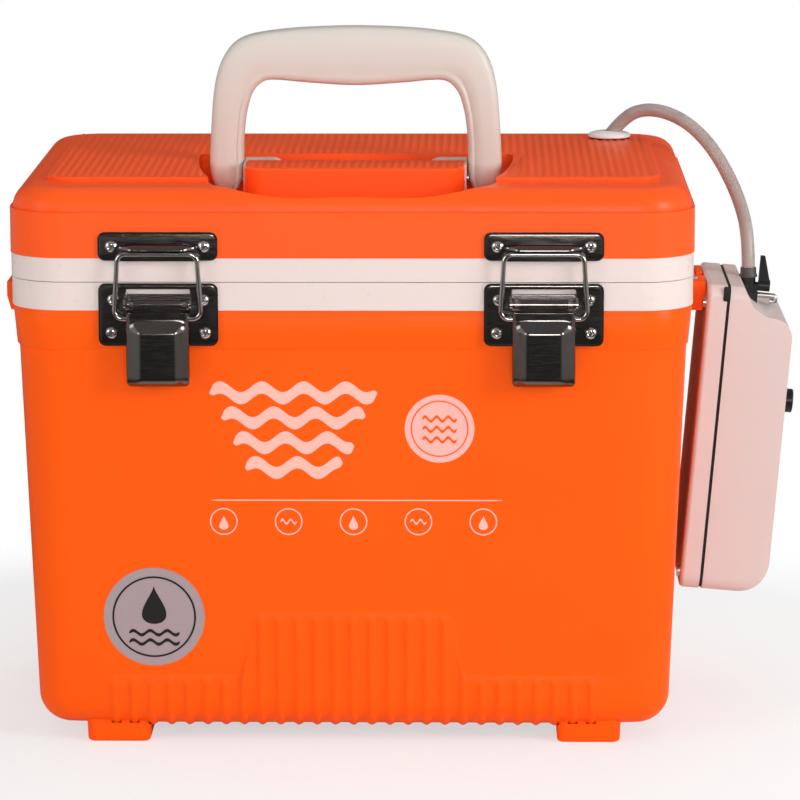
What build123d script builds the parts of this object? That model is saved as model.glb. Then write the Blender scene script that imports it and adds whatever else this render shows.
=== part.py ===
from build123d import *
from math import cos, pi, radians, sin, tan
import os

# Hard-sided live-bait cooler box with a battery air pump hung on its right side.
# Millimetres. The origin is the centre of the footprint on the floor, +Z is up,
# the front with the two draw latches faces -Y, and +X is to the right.

os.makedirs("parts", exist_ok=True)

# ------------------------------------------------------------------ box: driving dimensions
rim_length = 295.0  # lid skirt, along X
rim_width = 207.0  # lid skirt, along Y
rim_corner = 24.0  # plan corner radius of the lid skirt

foot_height = 7.9
body_height = 186.4  # underside of the body to the top of the orange shell
collar_height = 17.4  # thicker collar at the top of the orange shell
body_band_height = 12.1  # white band of the body liner
lid_band_height = 10.5  # white band of the lid liner
skirt_height = 19.5  # straight part of the lid shell
crown_height = 9.8  # rounded part of the lid shell
panel_rise = 2.1  # raised panel on the lid

lid_band_inset = 0.3
body_band_inset = 0.5
collar_inset = 0.8
collar_draft = 5.0  # degrees
body_inset = 2.9  # body below the collar
body_draft = 2.3  # degrees
crown_inset = 1.3
crown_roll = 9.5
bottom_roll = 16.5

shell_wall = 2.5
liner_wall = 2.5
side_foam = 12.5
floor_foam = 13.0
floor_roll = 12.0
mouth_corner = 22.0  # plan corner radius of the tub mouth
foam_fit = 0.2  # clearance round the foam
seam_gap = 0.3  # lid liner above body liner
rim_fit = 1.5  # lid plug inside the tub mouth
plug_depth = 6.0
plug_wall = 2.5
seal_offset = 4.0  # lid gasket outside the tub mouth
seal_width = 5.0
seal_groove = 1.2

rib_pitch = 8.0
rib_count = 27
rib_width = 4.2
rib_rise = 1.5
rib_low_top = 23.9  # rib panel top above the underside of the body, outer ribs
rib_high_top = 52.2  # the same for the middle ribs
rib_high_half = 46.0  # half width of the tall middle part

foot_spread_x = 206.0  # between foot centres
foot_spread_y = 149.0
foot_size = 27.5  # at the floor
foot_flare = 0.8  # added all round at the top
foot_sink = 11.0  # part of the foot beside the rolled bottom edge
foot_edge = 3.5
foot_sole_edge = 1.6

lug_length = 50.0  # along Y
lug_height = 12.5
lug_reach = 8.9  # outer face beyond the collar
lug_undercut = 1.8
lug_outer_wall = 2.6
lug_slot_width = 4.2
lug_slot_length = 30.0
lug_gate = 10.0  # gap in the outer wall
lug_gate_floor = 4.0

panel_length = 266.0
panel_width = 155.0
panel_corner = 12.0
panel_edge = 0.9

# ------------------------------------------------------------------ levels and half sizes
body_z = foot_height
shell_top_z = body_z + body_height
collar_z = shell_top_z - collar_height
seam_z = shell_top_z + body_band_height
skirt_z = seam_z + lid_band_height
crown_z = skirt_z + skirt_height
border_z = crown_z + crown_height
panel_z = border_z + panel_rise

half_x = rim_length / 2
half_y = rim_width / 2
body_x = half_x - body_inset
body_y = half_y - body_inset
body_taper = (collar_z - body_z) * tan(radians(body_draft))
collar_taper = collar_height * tan(radians(collar_draft))
bottom_corner = rim_corner - body_inset - body_taper
bottom_round = min(bottom_roll, bottom_corner - 0.5)
band_y = half_y - body_band_inset  # front and back of the body band
mouth_x = half_x - body_band_inset - shell_wall - side_foam
mouth_y = half_y - body_band_inset - shell_wall - side_foam
tub_floor_z = body_z + shell_wall + floor_foam + liner_wall
tub_depth = seam_z - tub_floor_z
tub_taper = tub_depth * tan(radians(body_draft))
floor_round = min(floor_roll, mouth_corner - tub_taper - 0.5)


def plan(x, y, corner, inset=0.0, mode=Mode.ADD):
    """Rounded rectangle of half sizes x and y, made smaller all round by inset."""
    return RectangleRounded(2 * (x - inset), 2 * (y - inset), corner - inset, mode=mode)


# ------------------------------------------------------------------ latches: driving dimensions
latch_spread = 164.6  # between latch centres
plate_thickness = 1.2
plate_corner = 3.0
strike_length = 50.8
strike_height = 12.0
strike_overhang = 0.8  # below the lid skirt
strike_screw_spread = 39.6
lip_length = 34.0
lip_reach = 2.0
lip_height = 2.6
lip_thickness = 1.0
base_length = 50.9
base_height = 26.8
base_top_drop = 0.4  # below the seam
base_screw_upper = 38.4
base_screw_lower = 40.0
base_screw_upper_drop = 7.4  # below the seam
base_screw_lower_drop = 21.6
window_length = 28.0
window_height = 4.2
window_drop = 4.1  # window centre below the seam
ear_spread = 27.0
ear_thickness = 1.0
ear_size = 6.0
pivot_drop = 8.7  # lever pivot below the seam
pivot_reach = 3.7  # lever pivot in front of the base plate
latch_pin_radius = 1.1
latch_rivet_radius = 1.9
latch_rivet_height = 1.0
running_fit = 0.05  # radial clearance of a pin in its bore
barrel_radius = 2.5
neck_length = 20.3
lever_length = 26.8
lever_wall = 1.2
lever_top_drop = 12.1  # top of the wide part below the seam
lever_bottom_drop = 44.4
lever_lip = 2.6
lever_bulge = 4.6  # pillow in front of the neck plane
lever_back_gap = 0.7
bail_wire = 2.1
bail_bottom_length = 37.2  # between wire centres
bail_top_length = 33.8
bail_drop = 14.9  # bail pivot below the seam
bail_rise = 12.9  # top bar above the seam
bail_bend = 3.6
bail_gap = 0.4  # bail in front of the strike lip
bail_end_x = 12.7

screw_head_radius = 2.6
screw_head_height = 1.3
screw_radius = 1.5
screw_length = 7.0
screw_hole_fit = 0.1

# ------------------------------------------------------------------ hinges: driving dimensions
hinge_spread = 170.0
leaf_length = 50.0
leaf_thickness = 1.2
leaf_height = 20.0
leaf_start = 3.2  # leaf begins this far from the hinge axis
leaf_lead = 0.8  # its tongues begin this far from the axis
knuckle_radius = 3.5
hinge_reach = 3.8  # axis behind the lid skirt
hinge_pin_radius = 1.5
knuckle_middle = 22.0
knuckle_gap = 0.3
hinge_screw_spread = 36.0
hinge_screw_offset = 14.0  # from the hinge axis

# ------------------------------------------------------------------ handle: driving dimensions
handle_y = -16.0
handle_pivot_rise = 3.6  # pivot above the crown line
handle_half = 64.8
handle_inner_half = 49.8
handle_depth = 18.0
handle_shoulder = 10.0  # straight leg above the pivot
grip_top = 67.6  # above the pivot
grip_under = 41.6
handle_pin_radius = 2.5
handle_pin_inner = 39.0
handle_pin_outer = 60.0

recess_half = 70.0
recess_back_y = 1.0
recess_side_y = -83.0
recess_side_half = 60.8
recess_front_y = -100.0
recess_depth = 10.6  # floor below the handle pivot
recess_bow = 2.0
recess_corner = 4.0

block_half = 48.3
block_back_y = -19.6
block_front_y = -50.0
block_corner = 8.0
block_edge = 0.8
bracket_plate = 0.9
bracket_flat = 13.0
bracket_slope = 11.0
bracket_back_y = -6.8
bracket_front_y = -34.0
bracket_drop = 0.3  # bracket top below the panel
block_screw_spread = 60.0
block_screw_y = -36.0

# ------------------------------------------------------------------ pump: driving dimensions
pump_tilt = 4.86  # degrees, bottom inwards
pump_top_z = 194.0
pump_top_x = 165.67  # gasket plane at the top
pump_width = 73.0
pump_height = 138.5
pump_front_depth = 29.6
pump_back_depth = 9.4
pump_gasket = 1.4
pump_wall = 2.2
pump_top_corner = 5.0
pump_bottom_corner = 8.0
pump_nose_radius = 16.0
pump_edge = 2.0
gasket_width = 3.0
gasket_inset = 0.6

cell_radius = 16.6
cell_length = 59.5
contact_radius = 3.2
cell_gap = 0.4
cell_top = 66.5  # below the pump top
cell_rib = 1.6
motor_radius = 11.0
motor_length = 26.0
motor_drop = 42.0
head_length = 30.0
head_height = 32.0
head_depth = 27.5
head_drop = 42.0
head_shift = 6.0  # further from the mounting side than centred
button_radius = 5.3
button_proud = 4.6
button_travel = 2.0
button_drop = 52.0
button_side = -17.0
button_length = 9.0
button_fit = 0.3
switch_size = 15.0
switch_arm = 1.8
switch_depth = 6.0
case_screw_x = 28.5
case_screw_top = 9.0
case_screw_bottom = 131.5
case_boss_radius = 3.2
case_screw_radius = 1.3
case_screw_length = 15.0

outlet_reach = 11.0  # outlet axis in front of the gasket plane
outlet_radius = 3.3
outlet_face = 14.8  # flat front of the outlet block
outlet_neck_width = 8.0
outlet_width = 16.0
outlet_top_drop = 3.0  # below the pump top
outlet_step_drop = 6.0
outlet_bottom_drop = 12.0
inner_tube_drop = 13.0
running_gap = 0.3
valve_drop = 3.6
valve_hub_radius = 2.6
valve_hub_length = 5.3
valve_pin_radius = 1.4
valve_pin_length = 2.4
valve_tip_rise = 9.8
valve_tip_width = 2.0
valve_blade = 3.0
ring_drop = 8.0
ring_reach = 23.3
ring_height = 2.6
ring_return = 2.4
ring_wire = 1.2
clip_head_length = 24.0
clip_fit = 0.4

# ------------------------------------------------------------------ hose: driving dimensions
hose_radius = 3.0
hose_bore = 2.0
hose_end_x = 176.0
hose_end_z = 194.2
grommet_x = 115.0
grommet_y = 59.0
grommet_radius = 9.85
grommet_height = 3.0
grommet_edge = 1.2
grommet_sleeve = 4.6
seal_radius = 9.2
seal_height = 0.7
drop_tube_radius = 3.0
drop_tube_end_z = 66.0
stone_radius = 8.0
stone_height = 28.0
tube_plug = 8.0  # length of the drop tube inside the air stone

# ================================================================== body of the box
with BuildPart() as body_blank:
    with BuildSketch(Plane.XY.offset(collar_z)):
        plan(body_x, body_y, rim_corner)
    with BuildSketch(Plane.XY.offset(body_z)):
        plan(body_x - body_taper, body_y - body_taper, bottom_corner)
    loft(ruled=True)
    fillet(body_blank.faces().sort_by(Axis.Z)[0].edges(), radius=bottom_round)

with BuildPart() as collar_blank:
    with BuildSketch(Plane.XY.offset(shell_top_z)):
        plan(half_x, half_y, rim_corner, collar_inset)
    with BuildSketch(Plane.XY.offset(collar_z)):
        plan(half_x, half_y, rim_corner, collar_inset + collar_taper)
    loft(ruled=True)

with BuildPart() as rib_blank:
    with BuildSketch(Plane.XY.offset(collar_z)):
        plan(body_x + rib_rise, body_y + rib_rise, rim_corner + rib_rise)
    with BuildSketch(Plane.XY.offset(body_z - rib_rise)):
        plan(body_x - body_taper + rib_rise, body_y - body_taper + rib_rise, bottom_corner + rib_rise)
    loft(ruled=True)
    fillet(rib_blank.faces().sort_by(Axis.Z)[0].edges(), radius=bottom_round + rib_rise)

with BuildPart() as rib_slabs:
    for rib in range(rib_count):
        rib_x = (rib - (rib_count - 1) / 2) * rib_pitch
        rib_top = rib_high_top if abs(rib_x) < rib_high_half else rib_low_top
        with BuildSketch(Plane.XY.offset(body_z - rib_rise)):
            with Locations((rib_x, -body_y)):
                Rectangle(rib_width, 2 * (foot_size + foot_flare))
        extrude(amount=rib_top + rib_rise)

with BuildPart() as front_ribs:
    add(rib_blank.part)
    add(rib_slabs.part, mode=Mode.INTERSECT)

with BuildPart() as shell_space:
    with BuildSketch(Plane.XY.offset(collar_z)):
        plan(body_x, body_y, rim_corner, shell_wall)
    with BuildSketch(Plane.XY.offset(body_z + shell_wall)):
        plan(body_x - body_taper, body_y - body_taper, bottom_corner, shell_wall)
    loft(ruled=True)
    fillet(shell_space.faces().sort_by(Axis.Z)[0].edges(), radius=bottom_round - shell_wall)
    with BuildSketch(Plane.XY.offset(collar_z)):
        plan(body_x, body_y, rim_corner, shell_wall)
    extrude(amount=collar_height)

with BuildPart() as liner_space:
    with BuildSketch(Plane.XY.offset(seam_z)):
        plan(mouth_x, mouth_y, mouth_corner)
    with BuildSketch(Plane.XY.offset(tub_floor_z)):
        plan(mouth_x, mouth_y, mouth_corner, tub_taper)
    loft(ruled=True)
    fillet(liner_space.faces().sort_by(Axis.Z)[0].edges(), radius=floor_round)

with BuildPart() as liner_blank:
    with BuildSketch(Plane.XY.offset(seam_z)):
        plan(mouth_x, mouth_y, mouth_corner, -liner_wall)
    with BuildSketch(Plane.XY.offset(tub_floor_z - liner_wall)):
        plan(mouth_x, mouth_y, mouth_corner, tub_taper - liner_wall)
    loft(ruled=True)
    fillet(liner_blank.faces().sort_by(Axis.Z)[0].edges(), radius=floor_round + liner_wall)

# screw places, shared by the plates, the screws and the holes behind them
latch_places = (-latch_spread / 2, latch_spread / 2)
strike_z = skirt_z - strike_overhang + strike_height / 2
base_z = seam_z - base_top_drop - base_height / 2
base_upper_z = seam_z - base_screw_upper_drop
base_lower_z = seam_z - base_screw_lower_drop
strike_screws = []
base_upper_screws = []
base_lower_screws = []
for place in latch_places:
    for way in (-1, 1):
        strike_screws.append((place + way * strike_screw_spread / 2, strike_z))
        base_upper_screws.append((place + way * base_screw_upper / 2, base_upper_z))
        base_lower_screws.append((place + way * base_screw_lower / 2, base_lower_z))
base_screws = base_upper_screws + base_lower_screws

hinge_places = (-hinge_spread / 2, hinge_spread / 2)
hinge_y = half_y + hinge_reach
hinge_lid_screws = []
hinge_body_screws = []
for place in hinge_places:
    for way in (-1, 1):
        hinge_lid_screws.append((place + way * hinge_screw_spread / 2, seam_z + hinge_screw_offset))
        hinge_body_screws.append((place + way * hinge_screw_spread / 2, seam_z - hinge_screw_offset))

front_plane = Plane.XZ.offset(band_y)  # back of the latch bases
lid_front_plane = Plane.XZ.offset(half_y)  # back of the strikes
rear_plane = Plane(origin=(0, band_y, 0), x_dir=(-1, 0, 0), z_dir=(0, 1, 0))
lid_rear_plane = Plane(origin=(0, half_y, 0), x_dir=(-1, 0, 0), z_dir=(0, 1, 0))
screw_hole = screw_radius + screw_hole_fit
screw_bite = screw_length + screw_hole_fit

with BuildPart() as body_shell:
    add(body_blank.part)
    add(collar_blank.part)
    add(front_ribs.part)
    pad_height = shell_top_z - (seam_z - base_top_drop - base_height) - 1.0
    for place in latch_places:
        with BuildSketch(Plane.XY.offset(shell_top_z)):
            with Locations((place, -band_y + shell_wall), (place, band_y - shell_wall)):
                Rectangle(base_length - 2 * plate_corner, 2 * shell_wall)
        extrude(amount=-pad_height)
    add(shell_space.part, mode=Mode.SUBTRACT)
    with BuildSketch(front_plane):
        with Locations(*base_lower_screws):
            Circle(screw_hole)
    extrude(amount=-screw_bite, mode=Mode.SUBTRACT)
    with BuildSketch(rear_plane):
        with Locations(*hinge_body_screws):
            Circle(screw_hole)
    extrude(amount=-screw_bite, mode=Mode.SUBTRACT)
body_shell.part.label = "body_shell"
export_step(body_shell.part, "parts/body_shell.step")

with BuildPart() as body_liner:
    with BuildSketch(Plane.XY.offset(shell_top_z)):
        plan(half_x, half_y, rim_corner, body_band_inset)
    extrude(amount=body_band_height)
    with BuildSketch(Plane.XY.offset(shell_top_z)):
        plan(half_x, half_y, rim_corner, body_band_inset + shell_wall)
    extrude(amount=body_band_height - liner_wall, mode=Mode.SUBTRACT)
    add(liner_blank.part)
    add(liner_space.part, mode=Mode.SUBTRACT)
    with BuildSketch(front_plane):
        with Locations(*base_upper_screws):
            Circle(screw_hole)
    extrude(amount=-screw_bite, mode=Mode.SUBTRACT)
body_liner.part.label = "body_liner"
export_step(body_liner.part, "parts/body_liner.step")

with BuildPart() as foam_blank:
    with BuildSketch(Plane.XY.offset(shell_top_z)):
        plan(half_x, half_y, rim_corner, body_band_inset + shell_wall + foam_fit)
    extrude(amount=body_band_height - liner_wall - foam_fit)
    with BuildSketch(Plane.XY.offset(collar_z)):
        plan(body_x, body_y, rim_corner, shell_wall + foam_fit)
    extrude(amount=collar_height)
    with BuildSketch(Plane.XY.offset(collar_z)):
        plan(body_x, body_y, rim_corner, shell_wall + foam_fit)
    with BuildSketch(Plane.XY.offset(body_z + shell_wall + foam_fit)):
        plan(body_x - body_taper, body_y - body_taper, bottom_corner, shell_wall + foam_fit)
    loft(ruled=True)
    fillet(foam_blank.faces().sort_by(Axis.Z)[0].edges(), radius=bottom_round - shell_wall)

with BuildPart() as body_insulation:
    add(foam_blank.part)
    with BuildSketch(Plane.XY.offset(seam_z)):
        plan(mouth_x, mouth_y, mouth_corner, -liner_wall - foam_fit)
    with BuildSketch(Plane.XY.offset(tub_floor_z - liner_wall - foam_fit)):
        plan(mouth_x, mouth_y, mouth_corner, tub_taper - liner_wall - foam_fit)
    loft(ruled=True, mode=Mode.SUBTRACT)
    for plane in (front_plane, rear_plane):
        with BuildSketch(plane):
            with Locations(*(base_screws if plane is front_plane else hinge_body_screws)):
                Circle(screw_hole)
        extrude(amount=-screw_bite, mode=Mode.SUBTRACT)
body_insulation.part.label = "body_insulation"
export_step(body_insulation.part, "parts/body_insulation.step")

with BuildPart() as feet:
    for foot_x in (-foot_spread_x / 2, foot_spread_x / 2):
        for foot_y in (-foot_spread_y / 2, foot_spread_y / 2):
            with BuildSketch(Plane.XY):
                with Locations((foot_x, foot_y)):
                    RectangleRounded(foot_size, foot_size, foot_edge)
            foot_top = foot_size + 2 * foot_flare
            with BuildSketch(Plane.XY.offset(body_z + foot_sink)):
                with Locations((foot_x, foot_y)):
                    RectangleRounded(foot_top, foot_top, foot_edge + foot_flare)
            loft(ruled=True)
    fillet(feet.edges().group_by(Axis.Z)[0], radius=foot_sole_edge)
    add(body_blank.part, mode=Mode.SUBTRACT)
    add(front_ribs.part, mode=Mode.SUBTRACT)
feet.part.label = "feet"
export_step(feet.part, "parts/feet.step")

lug_face_x = half_x - collar_inset + lug_reach
lug_slot_x = lug_face_x - lug_outer_wall - lug_slot_width / 2
for side, way in (("left", -1), ("right", 1)):
    lug_plane = Plane(origin=(0, 0, shell_top_z), x_dir=(way, 0, 0), z_dir=(0, -way, 0))
    with BuildPart() as lug:
        with BuildSketch(lug_plane):
            with BuildLine():
                Polyline(
                    (half_x - 2 * shell_wall, 0),
                    (lug_face_x, 0),
                    (lug_face_x, -lug_height / 2),
                    (lug_face_x - lug_undercut, -lug_height),
                    (half_x - 2 * shell_wall, -lug_height),
                    close=True,
                )
            make_face()
        extrude(amount=lug_length / 2, both=True)
        with BuildSketch(Plane.XY.offset(shell_top_z)):
            with Locations((way * lug_slot_x, 0)):
                Rectangle(lug_slot_width, lug_slot_length)
        extrude(amount=-lug_height, mode=Mode.SUBTRACT)
        with BuildSketch(Plane.XY.offset(shell_top_z)):
            with Locations((way * (lug_slot_x + lug_outer_wall), 0)):
                Rectangle(lug_slot_width + 2 * lug_outer_wall, lug_gate)
        extrude(amount=lug_gate_floor - lug_height, mode=Mode.SUBTRACT)
        add(collar_blank.part, mode=Mode.SUBTRACT)
        add(body_blank.part, mode=Mode.SUBTRACT)
    lug.part.label = f"strap_lug_{side}"
    export_step(lug.part, f"parts/strap_lug_{side}.step")

# ================================================================== lid
handle_pivot_z = crown_z + handle_pivot_rise
recess_floor_z = handle_pivot_z - recess_depth

with BuildPart() as recess_space:
    with BuildSketch(Plane.XY.offset(recess_floor_z)):
        with BuildLine():
            middle_y = (recess_back_y + recess_side_y) / 2
            back = Line((0, recess_back_y), (recess_half, recess_back_y))
            side = ThreePointArc(
                back @ 1, (recess_half - recess_bow, middle_y), (recess_side_half, recess_side_y)
            )
            Spline(side @ 1, (0, recess_front_y), tangents=(side % 1, (-1, 0)))
            mirror(about=Plane.YZ)
        make_face()
    extrude(amount=panel_z - recess_floor_z + 1.0)
    fillet(recess_space.edges().filter_by(Axis.Z).group_by(Axis.Y)[-1], radius=recess_corner)

lid_roll = min(crown_roll, crown_height - 0.2)
with BuildPart() as lid_blank:
    with BuildSketch(Plane.XY.offset(skirt_z)):
        plan(half_x, half_y, rim_corner)
    extrude(amount=skirt_height)
    with BuildSketch(Plane.XY.offset(crown_z)):
        plan(half_x, half_y, rim_corner, crown_inset)
    extrude(amount=crown_height)
    fillet(lid_blank.faces().sort_by(Axis.Z)[-1].edges(), radius=lid_roll)
    with BuildSketch(Plane.XY.offset(border_z)):
        RectangleRounded(panel_length, panel_width, panel_corner)
    extrude(amount=panel_rise)
    fillet(lid_blank.faces().sort_by(Axis.Z)[-1].edges(), radius=panel_edge)

with BuildPart() as lid_space:
    with BuildSketch(Plane.XY.offset(skirt_z)):
        plan(half_x, half_y, rim_corner, crown_inset + shell_wall)
    extrude(amount=border_z - shell_wall - skirt_z)
    fillet(lid_space.faces().sort_by(Axis.Z)[-1].edges(), radius=lid_roll - shell_wall)
    with BuildSketch(Plane.XY.offset(recess_floor_z - shell_wall)):
        with Locations((0, (recess_back_y + recess_front_y) / 2)):
            recess_span = recess_back_y - recess_front_y
            RectangleRounded(
                2 * (recess_half + shell_wall), recess_span + 2 * shell_wall, recess_corner
            )
    extrude(amount=border_z, mode=Mode.SUBTRACT)

sleeve_hole = grommet_sleeve + foam_fit
with BuildPart() as lid_shell:
    add(lid_blank.part)
    add(lid_space.part, mode=Mode.SUBTRACT)
    add(recess_space.part, mode=Mode.SUBTRACT)
    with BuildSketch(Plane.XY.offset(panel_z)):
        with Locations((grommet_x, grommet_y)):
            Circle(sleeve_hole)
    extrude(amount=-2 * (shell_wall + panel_rise), mode=Mode.SUBTRACT)
    with BuildSketch(Plane.XY.offset(recess_floor_z)):
        with Locations((-block_screw_spread / 2, block_screw_y), (block_screw_spread / 2, block_screw_y)):
            Circle(screw_hole)
    extrude(amount=-2 * shell_wall, mode=Mode.SUBTRACT)
    with BuildSketch(lid_front_plane):
        with Locations(*strike_screws):
            Circle(screw_hole)
    extrude(amount=-screw_bite, mode=Mode.SUBTRACT)
    with BuildSketch(lid_rear_plane):
        with Locations(*hinge_lid_screws):
            Circle(screw_hole)
    extrude(amount=-screw_bite, mode=Mode.SUBTRACT)
lid_shell.part.label = "lid_shell"
export_step(lid_shell.part, "parts/lid_shell.step")

lid_floor_z = seam_z + seam_gap
with BuildPart() as lid_liner:
    with BuildSketch(Plane.XY.offset(lid_floor_z)):
        plan(half_x, half_y, rim_corner, lid_band_inset)
    extrude(amount=skirt_z - lid_floor_z)
    with BuildSketch(Plane.XY.offset(lid_floor_z + liner_wall)):
        plan(half_x, half_y, rim_corner, lid_band_inset + shell_wall + crown_inset)
    extrude(amount=lid_band_height, mode=Mode.SUBTRACT)
    with BuildSketch(Plane.XY.offset(lid_floor_z)):
        plan(mouth_x, mouth_y, mouth_corner, rim_fit)
        plan(mouth_x, mouth_y, mouth_corner, rim_fit + plug_wall, mode=Mode.SUBTRACT)
    extrude(amount=-plug_depth)
    with BuildSketch(Plane.XY.offset(lid_floor_z)):
        plan(mouth_x, mouth_y, mouth_corner, -seal_offset - seal_width)
        plan(mouth_x, mouth_y, mouth_corner, -seal_offset, mode=Mode.SUBTRACT)
    extrude(amount=seal_groove, mode=Mode.SUBTRACT)
    with BuildSketch(Plane.XY.offset(lid_floor_z)):
        with Locations((grommet_x, grommet_y)):
            Circle(sleeve_hole)
    extrude(amount=liner_wall, mode=Mode.SUBTRACT)
    with BuildSketch(lid_rear_plane):
        with Locations(*hinge_lid_screws):
            Circle(screw_hole)
    extrude(amount=-screw_bite, mode=Mode.SUBTRACT)
lid_liner.part.label = "lid_liner"
export_step(lid_liner.part, "parts/lid_liner.step")

with BuildPart() as lid_gasket:
    with BuildSketch(Plane.XY.offset(seam_z)):
        plan(mouth_x, mouth_y, mouth_corner, -seal_offset - seal_width)
        plan(mouth_x, mouth_y, mouth_corner, -seal_offset, mode=Mode.SUBTRACT)
    extrude(amount=seam_gap + seal_groove)
lid_gasket.part.label = "lid_gasket"
export_step(lid_gasket.part, "parts/lid_gasket.step")

with BuildPart() as lid_insulation:
    foam_inset = lid_band_inset + shell_wall + crown_inset + foam_fit
    with BuildSketch(Plane.XY.offset(lid_floor_z + liner_wall + foam_fit)):
        plan(half_x, half_y, rim_corner, foam_inset)
    extrude(amount=border_z - shell_wall - 2 * foam_fit - lid_floor_z - liner_wall)
    fillet(lid_insulation.faces().sort_by(Axis.Z)[-1].edges(), radius=lid_roll - shell_wall)
    with BuildSketch(Plane.XY.offset(recess_floor_z - shell_wall - foam_fit)):
        with Locations((0, (recess_back_y + recess_front_y) / 2)):
            RectangleRounded(
                2 * (recess_half + shell_wall + foam_fit),
                recess_span + 2 * (shell_wall + foam_fit),
                recess_corner,
            )
    extrude(amount=border_z, mode=Mode.SUBTRACT)
    with BuildSketch(Plane.XY.offset(border_z)):
        with Locations((grommet_x, grommet_y)):
            Circle(sleeve_hole)
    extrude(amount=seam_z - border_z, mode=Mode.SUBTRACT)
    with BuildSketch(Plane.XY.offset(recess_floor_z)):
        with Locations((-block_screw_spread / 2, block_screw_y), (block_screw_spread / 2, block_screw_y)):
            Circle(screw_head_radius + 2 * foam_fit)
    extrude(amount=seam_z - recess_floor_z, mode=Mode.SUBTRACT)
    for plane in (lid_front_plane, lid_rear_plane):
        with BuildSketch(plane):
            with Locations(*(strike_screws if plane is lid_front_plane else hinge_lid_screws)):
                Circle(screw_hole)
        extrude(amount=-screw_bite, mode=Mode.SUBTRACT)
lid_insulation.part.label = "lid_insulation"
export_step(lid_insulation.part, "parts/lid_insulation.step")

# ---------------------------------------------------------------- handle and its block
with BuildPart() as handle_block:
    with BuildSketch(Plane.XY.offset(recess_floor_z)):
        with Locations((0, (block_back_y + block_front_y) / 2)):
            Rectangle(2 * block_half, block_back_y - block_front_y)
    extrude(amount=panel_z - recess_floor_z)
    fillet(handle_block.edges().filter_by(Axis.Z).group_by(Axis.Y)[0], radius=block_corner)
    fillet(handle_block.faces().sort_by(Axis.Z)[-1].edges(), radius=block_edge)
    with BuildSketch(Plane.XY.offset(recess_floor_z)):
        with Locations((-block_screw_spread / 2, block_screw_y), (block_screw_spread / 2, block_screw_y)):
            Circle(screw_radius)
    extrude(amount=screw_length, mode=Mode.SUBTRACT)
handle_block.part.label = "handle_block"
export_step(handle_block.part, "parts/handle_block.step")

with BuildPart() as block_screws:
    with BuildSketch(Plane.XY.offset(recess_floor_z + screw_length)):
        with Locations((-block_screw_spread / 2, block_screw_y), (block_screw_spread / 2, block_screw_y)):
            Circle(screw_radius)
    extrude(amount=-screw_length - shell_wall)
    with BuildSketch(Plane.XY.offset(recess_floor_z - shell_wall)):
        with Locations((-block_screw_spread / 2, block_screw_y), (block_screw_spread / 2, block_screw_y)):
            Circle(screw_head_radius)
    extrude(amount=-screw_head_height)
block_screws.part.label = "block_screws"
export_step(block_screws.part, "parts/block_screws.step")

bracket_top_z = panel_z - bracket_drop
bracket_end = block_half + bracket_plate
bracket_inner = bracket_end - bracket_flat - bracket_slope
for side, way in (("left", -1), ("right", 1)):
    with BuildPart() as bracket:
        with BuildSketch(Plane.XZ.offset(-bracket_back_y)):
            with BuildLine():
                Polyline(
                    (way * bracket_end, recess_floor_z),
                    (way * bracket_end, bracket_top_z),
                    (way * (bracket_end - bracket_flat), bracket_top_z),
                    (way * bracket_inner, handle_pivot_z + handle_pin_radius),
                    (way * bracket_inner, recess_floor_z),
                    close=True,
                )
            make_face()
        extrude(amount=bracket_back_y - block_back_y)
        with BuildSketch(Plane.XZ.offset(-bracket_back_y)):
            with Locations((way * (bracket_end - bracket_plate / 2), (recess_floor_z + bracket_top_z) / 2)):
                Rectangle(bracket_plate, bracket_top_z - recess_floor_z)
        extrude(amount=bracket_back_y - bracket_front_y)
        with BuildSketch(Plane.YZ.offset(way * handle_pin_inner)):
            with Locations((handle_y, handle_pivot_z)):
                Circle(handle_pin_radius)
        extrude(amount=way * (bracket_end - handle_pin_inner), mode=Mode.SUBTRACT)
    bracket.part.label = f"handle_bracket_{side}"
    export_step(bracket.part, f"parts/handle_bracket_{side}.step")

with BuildPart() as handle_pins:
    for way in (-1, 1):
        with BuildSketch(Plane.YZ.offset(way * handle_pin_inner)):
            with Locations((handle_y, handle_pivot_z)):
                Circle(handle_pin_radius)
        extrude(amount=way * (handle_pin_outer - handle_pin_inner))
handle_pins.part.label = "handle_pins"
export_step(handle_pins.part, "parts/handle_pins.step")

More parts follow.
